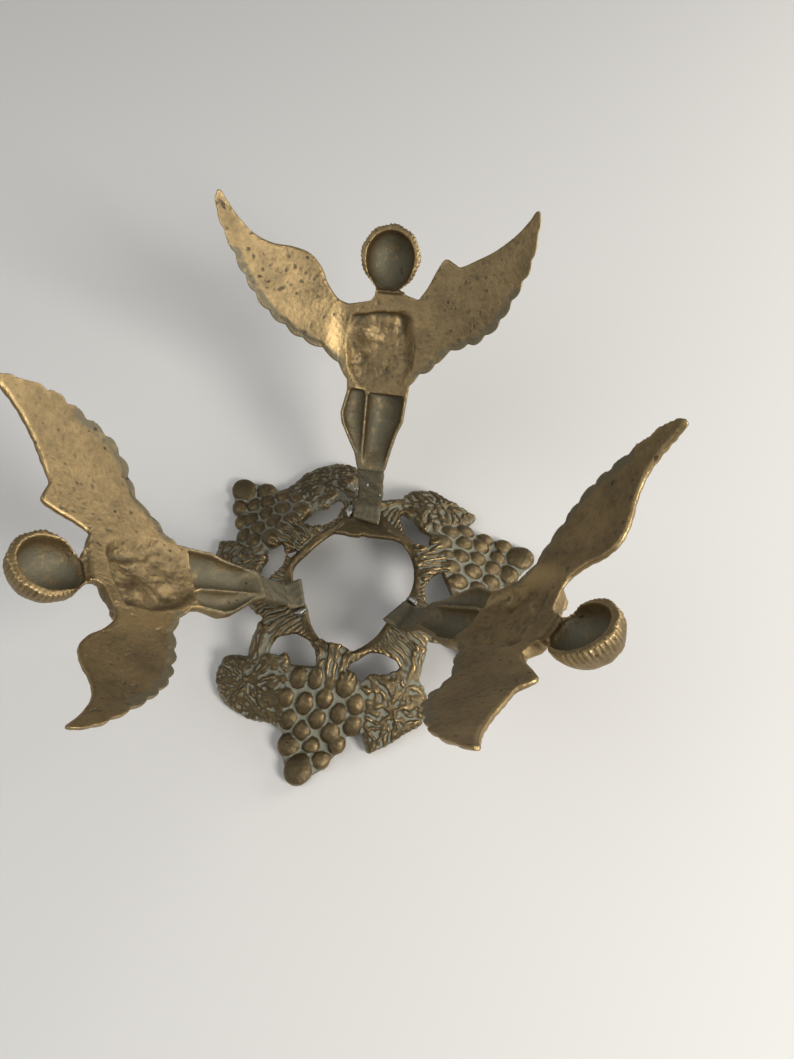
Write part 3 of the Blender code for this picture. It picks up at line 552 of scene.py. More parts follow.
def ring_band(stations=260, sides=26):
    """The ring itself: a flattened band that follows the edge of the opening."""
    bm = bmesh.new()
    loops = []
    for k in range(stations):
        angle = 360.0 * k / stations
        middle = ring_edge(angle) + RING_BAND / 2.0
        outward = Vector((math.cos(math.radians(angle)), math.sin(math.radians(angle)), 0.0))
        wave = 1.8 * math.sin(math.radians(angle) * 7.0) + 1.3 * math.sin(math.radians(angle) * 3.0)
        ring = []
        for i in range(sides):
            turn = 2.0 * math.pi * i / sides
            across = RING_BAND / 2.0 * math.cos(turn)
            groove = 0.00020 * math.sin(across / 0.00042 + wave) * smooth(math.sin(turn))
            height = RING_BAND_HEIGHT * (0.45 + 0.55 * math.sin(turn)) + groove
            up = Vector((0.0, 0.0, max(height, 0.0)))
            ring.append(bm.verts.new(outward * (middle + across) + up))
        loops.append([bm.edges.new((ring[i], ring[(i + 1) % sides])) for i in range(sides)])
    for k in range(stations):
        bmesh.ops.bridge_loops(bm, edges=[*loops[k], *loops[(k + 1) % stations]])
    return bm


def trunk(ring, outer):
    """A flat trunk: its inner side follows the ring's edge and its outer side runs to the leaf."""
    inner = [(ring_edge(a) + 0.4 * MM, math.radians(a)) for a in ring]
    outline = [(r * math.cos(a), r * math.sin(a)) for r, a in inner]
    outline += [(x * MM, y * MM) for x, y in outer]
    return slab(outline, RING_BAND_HEIGHT - 0.0004)


def wreath_cast():
    """The flat casting: three bunches with leaves, their boughs and the ring."""
    section = [grape(x * MM, y * MM, r * MM) for x, y, r in GRAPES]
    section += branches()
    section.append(trunk(LEFT_TRUNK_RING, LEFT_TRUNK))
    section.append(trunk(RIGHT_TRUNK_RING, RIGHT_TRUNK))
    section.append(leaf(LEFT_LEAF, LEFT_LEAF_VEINS, LEFT_LEAF_TURN))
    section.append(leaf(RIGHT_LEAF, RIGHT_LEAF_VEINS, RIGHT_LEAF_TURN))
    section.append(slab([(x * MM, y * MM) for x, y in BUNCH_PLATE], PLATE))
    solids = [ring_band()]
    for k in range(SECTIONS):
        turn = Matrix.Rotation(math.radians(360.0 * k / SECTIONS), 3, "Z")
        for solid in section:
            copy = solid.copy()
            bmesh.ops.rotate(copy, verts=copy.verts, cent=(0.0, 0.0, 0.0), matrix=turn)
            solids.append(copy)
    for solid in section:
        solid.free()
    return cast_in_one(solids, "grape_wreath_cast", FINE * WREATH_COARSER)


def bark(places, facings):
    """Ridges of bark that fan from the ring to the leaves, wandering and running together."""
    radius = np.hypot(places[:, 0], places[:, 1])
    angle = np.arctan2(places[:, 1], places[:, 0])
    edge = np.array([ring_edge(a) for a in np.degrees(angle)])
    wander = 2.6 * grain(places, 0.9, 0.0060) + 1.3 * grain(places, 0.7, 0.0026)
    phase = 0.5 * BARK_RIDGES * angle + wander
    reach = smooth_all((radius - edge - RING_BAND * 0.7) / 0.0018)
    reach = reach * (1.0 - smooth_all((radius - BARK_REACH) / 0.0030))
    ridges = 2.0 * np.abs(np.sin(phase)) - 1.1 + 0.35 * np.sin(4.3 * phase)
    return ridges * reach * smooth_all(facings[:, 2] * 2.0 - 0.5)


def finish_wreath(mesh):
    """Grain and bark on the flat wreath, marks for its finish, and the bend onto the dome."""
    places = places_of(mesh)
    facings = facings_of(mesh)
    ends = edges_of(mesh)
    places = neighbour_mean(places, ends, 2)
    above = smooth_all((places[:, 2] - 0.0004) / 0.0006)
    rough = grain(places, 0.2, 0.0013) * 0.00010 + grain(places, 0.5, 0.0005) * 0.00004
    rough += BARK_DEPTH * bark(places, facings)
    places = places + facings * (rough * above)[:, None]
    set_places(mesh, places)
    mark_hollows(mesh, ends)
    outer = smooth_all((np.hypot(places[:, 0], places[:, 1]) - BARK_REACH) / 0.0040)
    store(mesh, "low", outer * (1.0 - smooth_all((places[:, 2] - PLATE) / 0.0014)))
    store(mesh, "hollow", np.zeros(len(places)))
    places = onto_dome(places)
    places += np.array([AXIS_X, AXIS_Y, 0.0])
    places[:, 2] = np.maximum(places[:, 2], 0.0)
    set_places(mesh, places)


# The angel


# The sides of the figure and of its dished torso: place up the body and across, in grid squares
BODY_SIDES = (
    (
        (0.0, -3.4), (5.3, -4.8), (9.9, -7.3), (15.2, -10.0), (18.6, -10.6), (26.3, -9.0), (29.5, -9.2),
        (36.5, -11.8), (43.5, -12.6), (50.5, -12.0), (54.0, -10.6), (55.6, -3.6), (57.4, -2.4),
        (61.0, -2.3),
    ),
    (
        (0.0, 6.2), (7.1, 7.7), (13.1, 9.2), (17.4, 10.9), (23.3, 11.3), (29.5, 11.8), (33.0, 12.8),
        (43.5, 13.6), (50.5, 13.2), (57.2, 12.0), (58.4, 7.6), (61.0, 6.0),
    ),
)
TORSO_LEFT = ((24.0, -3.0), (28.0, -6.4), (35.3, -10.6), (43.4, -12.0), (51.0, -9.9), (54.0, -8.0))
TORSO_RIGHT = ((24.0, 8.5), (30.4, 10.8), (37.0, 13.6), (45.0, 13.1), (51.0, 11.4), (54.0, 10.0))


def body_sides(along):
    """The left and right edges of the figure at a place up the body, in metres."""
    return tuple(straight_at(side, along / MM) * MM for side in BODY_SIDES)


def leg_bulge(x, along, inset):
    """How far the two draped legs stand forward, or how deep their hollows are."""
    left, right = body_sides(along)
    cover = LEG_OVERLAP if inset == 0.0 else -WALL / 3.0
    narrow = (LEG_DIVIDE - left) / 2.0 - inset
    broad = (right - LEG_DIVIDE) / 2.0 - inset
    a = narrow * arch(x, left + inset, LEG_DIVIDE + cover)
    b = broad * arch(x, LEG_DIVIDE - cover, right - inset)
    return max(a, b, 0.0)


def front_depth(x, along):
    """How far the robed front stands forward of the flat rim, with the folds of the robe."""
    left, right = body_sides(along)
    rise = smooth((along - 0.024) / 0.008)
    legs = leg_bulge(x, along, 0.0) * smooth(along / 0.004 + 0.3)
    wander = noise.noise(Vector((x * 160.0, along * 70.0, 2.0)))
    fold = 0.00055 * math.sin(x / 0.00075 + along * 90.0 + 2.4 * wander) * smooth(legs / 0.003)
    waist = CHEST_DEPTH * (0.80 + 0.30 * math.sin(math.pi * smooth((along - 0.030) / 0.020)))
    narrowing = 1.0 - 0.45 * smooth((along - 0.048) / 0.009)
    chest = waist * narrowing * arch(x, left, right)
    gather = 0.0003 * math.sin(x / 0.0010 + 1.6 * wander) * smooth(chest / 0.003)
    sash = 0.0006 * bell(along, 0.0335, 0.0011) * smooth(chest / 0.002)
    collar = 0.0004 * bell(along - 0.25 * abs(x - HEAD_MIDDLE), 0.0535, 0.0006)
    return mix(legs + fold, chest + gather + sash + collar, rise)


def torso_depth(x, along):
    """The dished, lumpy back of the torso: crisp under the neck, soft at the sides and the waist."""
    place, across = along / MM, x / MM
    left_side = smooth((across - curve_at(TORSO_LEFT, place)) / 3.4)
    right_side = smooth((curve_at(TORSO_RIGHT, place) - across) / 5.0)
    top = 50.4 + 1.5 * smooth(1.0 - abs(across - 1.6) / 10.0)
    span = 1.0 - smooth((place - top) / mix(0.9, 3.0, smooth((across - 2.0) / 7.0)))
    span *= mix(0.36, 1.0, smooth((place - 26.0) / 9.0))
    span *= smooth((place - 25.0) / 0.8)
    lumps = 0.42 * noise.noise(Vector((across / 4.6, place / 5.4, 5.0)))
    lumps += 0.13 * noise.noise(Vector((across / 2.0, place / 2.4, 8.0)))
    lumps += 0.06 * noise.noise(Vector((across / 0.9, place / 1.0, 2.0)))
    shoulder = bell(across, -4.7, 3.0) * bell(place, 45.9, 4.2)
    knot = bell(across, -4.7, 1.9) * bell(place, 36.1, 2.0)
    groove = bell(across, 7.2, 1.7) * bell(place, 47.6, 4.6)
    elbow = bell(across, 12.0, 2.4) * bell(place, 40.2, 3.0)
    form = 1.0 + lumps - 0.62 * shoulder + 0.55 * knot + 0.60 * groove - 0.50 * elbow
    return RECESS_DEPTH * form * (left_side * right_side) * span


def root_dip(x, along):
    """How far the left wing's root slopes down to the dished torso."""
    outside = smooth((x + 0.0170) / 0.0058)
    inside = 1.0 - smooth((x + 0.0110) / 0.003)
    return 0.0009 * outside * bell(along, ROOT_MIDDLE, 0.0085) * inside


def back_depth(x, along):
    """How deep the hollow back is below the flat rim: two leg hollows under a ledge, and the torso."""
    place = along / MM
    ledge = 25.4 + 0.9 * smooth(x / MM / -4.0)
    ends = smooth(place / 7.5) * (1.0 - smooth((place - ledge) / 0.7))
    legs = leg_bulge(x, along, WALL * 0.75) * ends
    left, right = body_sides(along)
    neck = NECK_HOLLOW * arch(x, left + 0.0004, right - 0.0004) * smooth((place - 58.0) / 0.7)
    return max(legs, neck, root_dip(x, along), torso_depth(x, along))


def relief_sheet(columns, rows, place):
    """A closed casting out of a flat grid: place(across, up) gives x, y, front depth and back depth."""
    bm = bmesh.new()
    front = bm.verts.layers.float.new("front")
    back = bm.verts.layers.float.new("back")
    bmesh.ops.create_grid(bm, x_segments=columns, y_segments=rows, size=1.0)
    for vert in bm.verts:
        across = round((vert.co.x + 1.0) / 2.0 * columns) / columns
        up = round((vert.co.y + 1.0) / 2.0 * rows) / rows
        x, y, vert[front], vert[back] = place(across, up)
        vert.co = (x, y, 0.0)
    return thickened(bm)


def thickened(bm):
    """A flat sheet made solid, between the front and back depths kept on its points."""
    front = bm.verts.layers.float["front"]
    back = bm.verts.layers.float["back"]
    ahead = set(raised_verts(bmesh.ops.extrude_face_region(bm, geom=list(bm.faces))))
    for vert in bm.verts:
        vert.co.z = -vert[front] if vert in ahead else -vert[back]
    return bm


def body_solid():
    """The robed body and neck."""
    def place(across, up):
        along = NECK_TOP * up
        left, right = body_sides(along)
        x = mix(left, right, across)
        at_side = smooth(1.0 - (0.5 - abs(across - 0.5)) * 24.0)
        rounded = 0.0005 * at_side * (1.0 - smooth((along - 0.024) / 0.004))
        depth = front_depth(x, along) + root_dip(x, along)
        hollow = min(back_depth(x, along), depth + RIM - WALL)
        return x, along, RIM + depth, hollow + rounded

    return relief_sheet(78, 176, place)


def foot_solid():
    """The ankle block and the tab that is soldered to the ring."""
    length = ANKLE_LENGTH + TAB_LENGTH
    lap = 0.0010

    def place(across, up):
        along = -length + (length + lap) * up
        flare = smooth((-along - ANKLE_LENGTH * 0.75) / 0.004)
        left, right = body_sides(max(along, 0.0))
        if along < 0.0:
            pinch = smooth(-along / 0.0008) * (1.0 - smooth(-along / 0.009))
            left += 0.0006 - 0.0012 * flare - 0.0007 * pinch
            right -= 0.0004
        slant = (0.5 - across) * 0.0020 * (1.0 - smooth(up * 3.0))
        thick = mix(BLOCK_THICKNESS, TAB_THICKNESS, smooth((-along - ANKLE_LENGTH + 0.0060) / 0.0045))
        step = BLOCK_STEP * smooth((-along - 0.0002) / 0.0004)
        lump = 0.00040 * noise.noise(Vector((across * 3.4, along / 0.0030, 3.0)))
        lump += 0.00018 * noise.noise(Vector((across * 9.0, along / 0.0011, 6.0)))
        worn_edge = 0.0006 * smooth(1.0 - (0.5 - abs(across - 0.5)) * 12.0)
        ragged = 0.00035 * noise.noise(Vector((across * 2.0, along / 0.0024, 9.0)))
        worn_edge += 0.0007 * smooth((0.0009 - along - length) / 0.0009)
        return mix(left, right, across) + ragged, along + slant, thick, step + lump + worn_edge

    return relief_sheet(32, 66, place)


def feather_relief(span, chord, reach):
    """The front of a wing: small scales near the leading edge, then long feathers with shafts."""
    index = span * FEATHERS
    u = index - math.floor(index)
    pillow = 1.0 - abs(2.0 * u - 1.0) ** 2.6
    shaft = bell(u, 0.5, 0.07)
    barbs = 0.10 * math.sin(reach * chord / 0.00035 + 5.0 * abs(u - 0.5))
    long_feather = (pillow + 0.35 * shaft + barbs) * smooth(chord * 6.0 - 1.9)
    row = chord / 0.17
    shifted = span * FEATHERS * 1.6 + 0.5 * (math.floor(row) % 2)
    v = row - math.floor(row)
    w = 2.0 * (shifted - math.floor(shifted)) - 1.0
    scale = (0.35 + 0.9 * v) * (1.0 - 0.75 * w * w)
    covers = scale * (1.0 - smooth(chord * 6.0 - 2.3)) * 1.25
    return max(long_feather, covers)


def wing_solid(leading, trailing, root_high, side):
    """A wing from the body to the tip: rough and nearly plain behind, feathered in front."""
    lap = 0.0007

    def edge_point(points, share):
        return path_point([(x * MM, y * MM, 0.0) for x, y in points], share)

    lead_root = edge_point(leading, 0.0)
    trail_root = edge_point(trailing, 0.0)

    def place(across, up):
        span = max(across - 0.03, 0.0) / 0.97
        chord = 1.0 - up
        lead = edge_point(leading, span)
        trail = edge_point(trailing, span)
        reach = (trail - lead).length
        along = mix(root_high, ROOT_LOW, chord)
        root = Vector((body_sides(along)[side], along, 0.0))
        if reach > 1e-6:
            index = span * FEATHERS
            scallop = abs(math.sin(math.pi * index)) ** 0.7 - 0.6
            trail = trail + (trail - lead) / reach * (2.0 * FEATHER_BULGE) * scallop * smooth(reach / 0.010)
        point = lead.lerp(trail, chord) + (root - lead_root.lerp(trail_root, chord)) * (1.0 - span) ** 2
        middle = lead.lerp(trail, 0.5)
        round_tip = math.sqrt(1.0 - min(max(0.0, (span - 0.97) / 0.03), 0.98) ** 2)
        point = middle + (point - middle) * round_tip
        inboard = lap * (1.0 - smooth(across / 0.03))
        point.x += inboard if side == 0 else -inboard
        fade = smooth(span * 9.0) * smooth((1.0 - span) * 7.0)
        edge = smooth(chord * reach / 0.0007) * smooth((1.0 - chord) * reach / 0.0006 + 0.25)
        thick = WING_THICKNESS * mix(0.72, 1.0, edge)
        thick += FEATHER_RELIEF * feather_relief(span, chord, reach) * fade
        strip = (1.0 - chord) * reach
        bevel = 0.0004 * smooth((0.0026 - strip) / 0.0014)
        bevel *= smooth(span * 12.0 - 0.6) * (1.0 - smooth(span * 6.0 - 2.0))
        worn = 0.0003 * (1.0 - smooth(chord * reach / 0.0006))
        dip = root_dip(point.x, point.y) if side == 0 else 0.0
        return point.x, point.y, thick + (bevel + dip) * 0.6, bevel + worn + dip

    return relief_sheet(150 if side == 0 else 140, 72, place)


def head_outline(x, y):
    """The egg shape of the head: narrower at the chin than at the crown."""
    narrow = 1.0 - 0.13 * smooth(-y * 1.1)
    return x * HEAD_HALF_WIDTH * narrow, y * HEAD_HALF_HEIGHT


def face_relief(x, y):
    """A calm, plain face on the usual thirds: brow, closed eyes, nose, lips and chin."""
    bridge = smooth((y + 0.24) / 0.06) * smooth((0.20 - y) / 0.26)
    nose = 0.0015 * bell(x, 0.0, 0.075) * bridge * mix(0.55, 1.0, smooth((0.1 - y) / 0.3))
    wings = 0.0005 * (bell(x, 0.085, 0.05) + bell(x, -0.085, 0.05)) * bell(y, -0.20, 0.05)
    brow = 0.0006 * bell(y, 0.17 - 0.25 * x * x, 0.06) * bell(x, 0.0, 0.42)
    eyes = 0.0
    for side in (-0.22, 0.22):
        socket = bell(x, side, 0.15) * bell(y, 0.04, 0.11)
        lid = bell(x, side, 0.10) * bell(y, 0.02, 0.05)
        lash = bell(x, side, 0.11) * bell(y, -0.02 - 0.5 * (x - side) ** 2, 0.014)
        eyes += -0.0009 * socket + 0.0007 * lid - 0.00025 * lash
    lips = 0.0006 * bell(x, 0.0, 0.13) * (bell(y, -0.335, 0.030) + 1.1 * bell(y, -0.405, 0.034))
    lips -= 0.0003 * bell(x, 0.0, 0.15) * bell(y, -0.368, 0.012)
    chin = 0.0008 * bell(x, 0.0, 0.17) * bell(y, -0.58, 0.10)
    cheeks = 0.0004 * (bell(x, 0.33, 0.16) + bell(x, -0.33, 0.16)) * bell(y, -0.20, 0.18)
    return nose + wings + brow + eyes + lips + chin + cheeks


def head_solid():
    """The head: a thin hollow egg, combed hair outside and a calm, plain face in front."""
    rings = 34
    bm = disc(190, rings, lambda k: math.cos(0.5 * math.pi * k / rings) * 0.6 + (1.0 - k / rings) * 0.4)
    front = bm.verts.layers.float.new("front")
    back = bm.verts.layers.float.new("back")
    for vert in bm.verts:
        x, y = vert.co.x, vert.co.y
        reach = min(math.hypot(x, y), 1.0)
        angle = math.atan2(y, x)
        face_side = smooth((math.hypot(x / 0.62, (y + 0.20) / 0.72) - 0.88) / 0.16)
        comb = math.cos(HAIR_STRANDS * angle + 1.2 * math.sin(3.0 * reach + angle))
        locks = 0.5 * math.sin(9.0 * angle + 7.0 * reach)
        hair = HAIR_RIDGE * (comb + locks) * face_side * smooth(reach * 2.4 - 0.4)
        lift = 0.0006 * face_side * (1.0 - smooth(reach * 4.0 - 3.0))
        face = face_relief(x, y) * (1.0 - face_side)
        vert[front] = RIM * 0.6 + HEAD_DEPTH * math.sqrt(1.0 - 0.985 * reach ** 2) + face + hair + lift
        chin = smooth(-y / reach * 1.25 - 0.10) if reach > 0.0 else 0.0
        hollow = reach / mix(0.80, 0.97, chin)
        lip = (0.0004 + NECK_HOLLOW * chin) * smooth((reach - 0.90) / 0.08)
        vert[back] = (HEAD_DEPTH - WALL) * math.sqrt(max(0.0, 1.0 - hollow ** 2.6)) + lip
        vert[front] += NECK_HOLLOW * 0.8 * chin * smooth((reach - 0.80) / 0.20)
        vert[back] = min(vert[back], vert[front] - WALL * 0.7)
        wide, high = head_outline(x, y)
        swell = 1.0 + hair * 1.6 / HEAD_HALF_WIDTH * smooth(reach * 6.0 - 5.0)
        vert.co.x = HEAD_MIDDLE + wide * swell
        vert.co.y = HEAD_CENTRE + high * swell
    return thickened(bm)


def arm_solid(side):
    """A draped arm, bent at the elbow, with the hands folded on the breast."""
    shoulder = (side * 10.0 + 1.0, 52.0, -5.0)
    elbow = (side * 10.5 + 1.0, 41.5, -7.6)
    wrist = (side * 4.0 + 1.2, 44.5, -9.2)
    hands = (side * 0.9 + 1.2, 49.0, -9.4)
    points = [tuple(c * MM for c in p) for p in (shoulder, elbow, wrist, hands)]
    return tube(points, [ARM_RADIUS * s for s in (1.0, 1.15, 0.85, 0.5)], 0.8, ARM_FOLDS, 30, 60)


def angel_cast():
    """The flat casting that all three angels share."""
    solids = [
        body_solid(), foot_solid(), head_solid(), arm_solid(-1.0), arm_solid(1.0),
        wing_solid(LEFT_LEADING, LEFT_TRAILING, ROOT_LEFT, 0),
        wing_solid(RIGHT_LEADING, RIGHT_TRAILING, ROOT_RIGHT, 1),
    ]
    return cast_in_one(solids, "angel_cast", FINE)


def stance(alongs, lean):
    """Radius, height and slope of the figure's back line at many places up the body."""
    step = 0.0002
    start = -(ANKLE_LENGTH + TAB_LENGTH) - 0.004
    stations = np.arange(start, 0.085, step)
    up_block = ANKLE_ANGLE * smooth_all((stations + ANKLE_LENGTH) / ANKLE_BEND + 0.5)
    to_body = (lean - ANKLE_ANGLE) * smooth_all(stations / ANKLE_BEND + 0.5)
    slope = up_block + to_body
    middle = 0.5 * (slope[1:] + slope[:-1])
    radius = FOOT_RADIUS - TAB_LENGTH - 0.004
    radius = radius + np.concatenate([[0.0], np.cumsum(np.cos(middle) * step)])
    height = np.concatenate([[0.0], np.cumsum(np.sin(middle) * step)])
    height += RING_RISE + RING_BAND_HEIGHT + GAP + TAB_THICKNESS
    return tuple(np.interp(alongs, stations, values) for values in (radius, height, slope))


def stand_up(places, azimuth, outward, sideways, lean, tilt, twist):
    """Bend points of the flat figure along its stance and set them where that angel is soldered on."""
    x, along, depth = places[:, 0], places[:, 1], places[:, 2]
    radius, height, slope = stance(along, math.radians(lean))
    back = depth + (x - SWEEP_MIDDLE) ** 2 / (2.0 * SWEEP_RADIUS) * smooth_all(along / 0.020)
    share = smooth_all(along / ANKLE_LENGTH + 1.0)
    side = x + sideways - TURNING_POINT[0]
    away = radius + outward - np.sin(slope) * back - TURNING_POINT[1]
    up = height + np.cos(slope) * back - TURNING_POINT[2]
    tilts, twists = math.radians(tilt) * share, math.radians(twist) * share
    tilted = side * np.cos(tilts) + up * np.sin(tilts)
    up = up * np.cos(tilts) - side * np.sin(tilts) + TURNING_POINT[2]
    side = tilted * np.cos(twists) - away * np.sin(twists) + TURNING_POINT[0]
    away = tilted * np.sin(twists) + away * np.cos(twists) + TURNING_POINT[1]
    angle = math.radians(azimuth - 90.0)
    return np.stack([
        side * math.cos(angle) - away * math.sin(angle) + AXIS_X,
        side * math.sin(angle) + away * math.cos(angle) + AXIS_Y,
        up,
    ], axis=1)


def distance_to(places, outline):
    """How far each flat place lies from a broken line through points in grid squares."""
    nearest = np.full(len(places), 1.0)
    for start, end in zip(outline, outline[1:]):
        a, b = np.array(start) * MM, np.array(end) * MM
        offset = places[:, :2] - a
        share = np.clip(offset @ (b - a) / ((b - a) @ (b - a)), 0.0, 1.0)
        nearest = np.minimum(nearest, np.linalg.norm(offset - share[:, None] * (b - a), axis=1))
    return nearest


def finish_angel(cast, name, shift, placing):
    """One angel: the shared casting with its own grain and pits, bent along its stance."""
    mesh = cast.copy()
    mesh.name = name + "_cast"
    places = places_of(mesh)
    facings = facings_of(mesh)
    ends = edges_of(mesh)
    places = neighbour_mean(places, ends, 1)
    behind = smooth_all(facings[:, 2] * 2.0 - 0.4)
    depth = smooth_all((-places[:, 2] - 0.0016) / 0.0020) * behind
    legs = 1.0 - smooth_all((places[:, 1] - KNEE_LEDGE) / 0.0015)
    head = smooth_all((places[:, 1] - 0.0590) / 0.0020)
    smoothness = depth * np.maximum(legs, head)
    ripple = grain(places, shift, 0.0040) * 0.00008 + grain(places, shift + 0.4, 0.0015) * 0.00007
    coarse = grain(places, shift + 0.8, 0.0008) * 0.00006
    pits = np.clip(grain(places, shift + 0.1, 0.0013) - 0.50, 0.0, 0.2) / 0.2
    rough = (ripple + coarse - 0.00026 * pits) * behind * (1.0 - 0.9 * smoothness) + coarse * 0.3
    places = places + facings * rough[:, None]
    set_places(mesh, places)
    mark_hollows(mesh, ends)
    trailing = np.minimum(distance_to(places, LEFT_TRAILING[1:9]), distance_to(places, RIGHT_TRAILING[1:9]))
    strip = (1.0 - smooth_all((trailing - STRIP_WIDTH) / 0.0009)) * behind
    # The back of the legs, rims included, is greyed with patina: real patina in the deep leg hollows, and
    # painted shade where it greys and darkens the rims and dividers of the legs.
    store(mesh, "hollow", np.maximum(smoothness, np.maximum(0.70 * legs * behind, 0.8 * strip)))
    store(mesh, "low", pits * behind)
    # A gold patch round the left wing's root: a painted highlight where the window's light falls on the
    # sloping root.
    root = np.exp(-(((places[:, 0] + 0.0142) / 0.0030) ** 2) - ((places[:, 1] - ROOT_MIDDLE) / 0.0095) ** 2)
    foot = 1.0 - smooth_all((places[:, 1] + 0.0005) / 0.0010)
    store(mesh, "painted_highlight", root * behind)
    store(mesh, "foot", foot)
    set_places(mesh, stand_up(places, *placing))
    return mesh


def drop(radius, place, shift):
    """An uneven drop of solder."""
    bm = bmesh.new()
    bmesh.ops.create_icosphere(bm, subdivisions=5, radius=radius)
    for vert in bm.verts:
        lump = 1.0 + 0.24 * noise.noise(vert.co / 0.0013 + Vector((shift, 0.0, 0.0)))
        vert.co.x *= 0.8 * lump
        vert.co.y *= (1.3 + 0.2 * math.sin(vert.co.x * 1900.0)) * lump
        vert.co.z *= 0.9 * lump
    bmesh.ops.translate(bm, verts=bm.verts, vec=place)
    return bm


def solder_bead(azimuth, outward, sideways):
    """The drop of solder along the edge of the foot tab."""
    edge = body_sides(0.0)[0] + sideways - 0.0006 - GAP - SOLDER_RADIUS * 0.8
    radius = FOOT_RADIUS + outward - TAB_LENGTH * 0.2
    floor = dome_height(radius) + RING_BAND_HEIGHT + GAP
    bm = drop(SOLDER_RADIUS, (edge, radius, floor), azimuth)
    for vert in bm.verts:
        vert.co.z = max(vert.co.z, floor)
    turn = Matrix.Rotation(math.radians(azimuth - 90.0), 3, "Z")
    bmesh.ops.rotate(bm, verts=bm.verts, cent=(0.0, 0.0, 0.0), matrix=turn)
    bmesh.ops.translate(bm, verts=bm.verts, vec=(AXIS_X, AXIS_Y, 0.0))
    return bm


def splashes(placing):
    """Small splashes of solder on the back of an ankle block."""
    whole = bmesh.new()
    for x, along, radius in SPLASHES:
        bm = drop(radius * MM, (x * MM, along * MM, -0.0004), x)
        flat = np.array([vert.co for vert in bm.verts])
        for vert, place in zip(bm.verts, stand_up(flat, *placing)):
            vert.co = place
        mesh = new_mesh(bm, "splash")
        whole.from_mesh(mesh)
        bpy.data.meshes.remove(mesh)
    return whole


# Finishes


def node(tree, kind, **settings):
    made = tree.nodes.new(kind)
    for key, value in settings.items():
        setattr(made, key, value)
    return made


def link(tree, start, end):
    tree.links.new(start, end)


def math_node(tree, operation, a, b=None, c=None, clamp=False):
    made = node(tree, "ShaderNodeMath", operation=operation, use_clamp=clamp)
    for socket, value in zip(made.inputs, (a, b, c)):
        if value is None:
            continue
        if isinstance(value, (int, float)):
            socket.default_value = value
        else:
            link(tree, value, socket)
    return made.outputs[0]


def ramp(tree, value, low, high):
    """0 below low, 1 above high, smooth between."""
    made = node(tree, "ShaderNodeMapRange", interpolation_type="SMOOTHSTEP")
    link(tree, value, made.inputs["Value"])
    made.inputs["From Min"].default_value = low
    made.inputs["From Max"].default_value = high
    return made.outputs["Result"]


def blend_colour(tree, share, a, b):
    made = node(tree, "ShaderNodeMix", data_type="RGBA")
    for socket, value in ((made.inputs[0], share), (made.inputs[6], a), (made.inputs[7], b)):
        if isinstance(value, (int, float)):
            socket.default_value = value
        elif isinstance(value, tuple):
            socket.default_value = (*value, 1.0)
        else:
            link(tree, value, socket)
    return made.outputs[2]


def noise_node(tree, place, size, detail, roughness=0.55, stretch=(1.0, 1.0, 1.0)):
    """Noise whose bumps are about this size in metres."""
    scaled = node(tree, "ShaderNodeMapping")
    link(tree, place, scaled.inputs["Vector"])
    scaled.inputs["Scale"].default_value = tuple(s / size for s in stretch)
    made = node(tree, "ShaderNodeTexNoise")
    link(tree, scaled.outputs["Vector"], made.inputs["Vector"])
    made.inputs["Scale"].default_value = 1.0
    made.inputs["Detail"].default_value = detail
    made.inputs["Roughness"].default_value = roughness
    return made.outputs["Fac"]


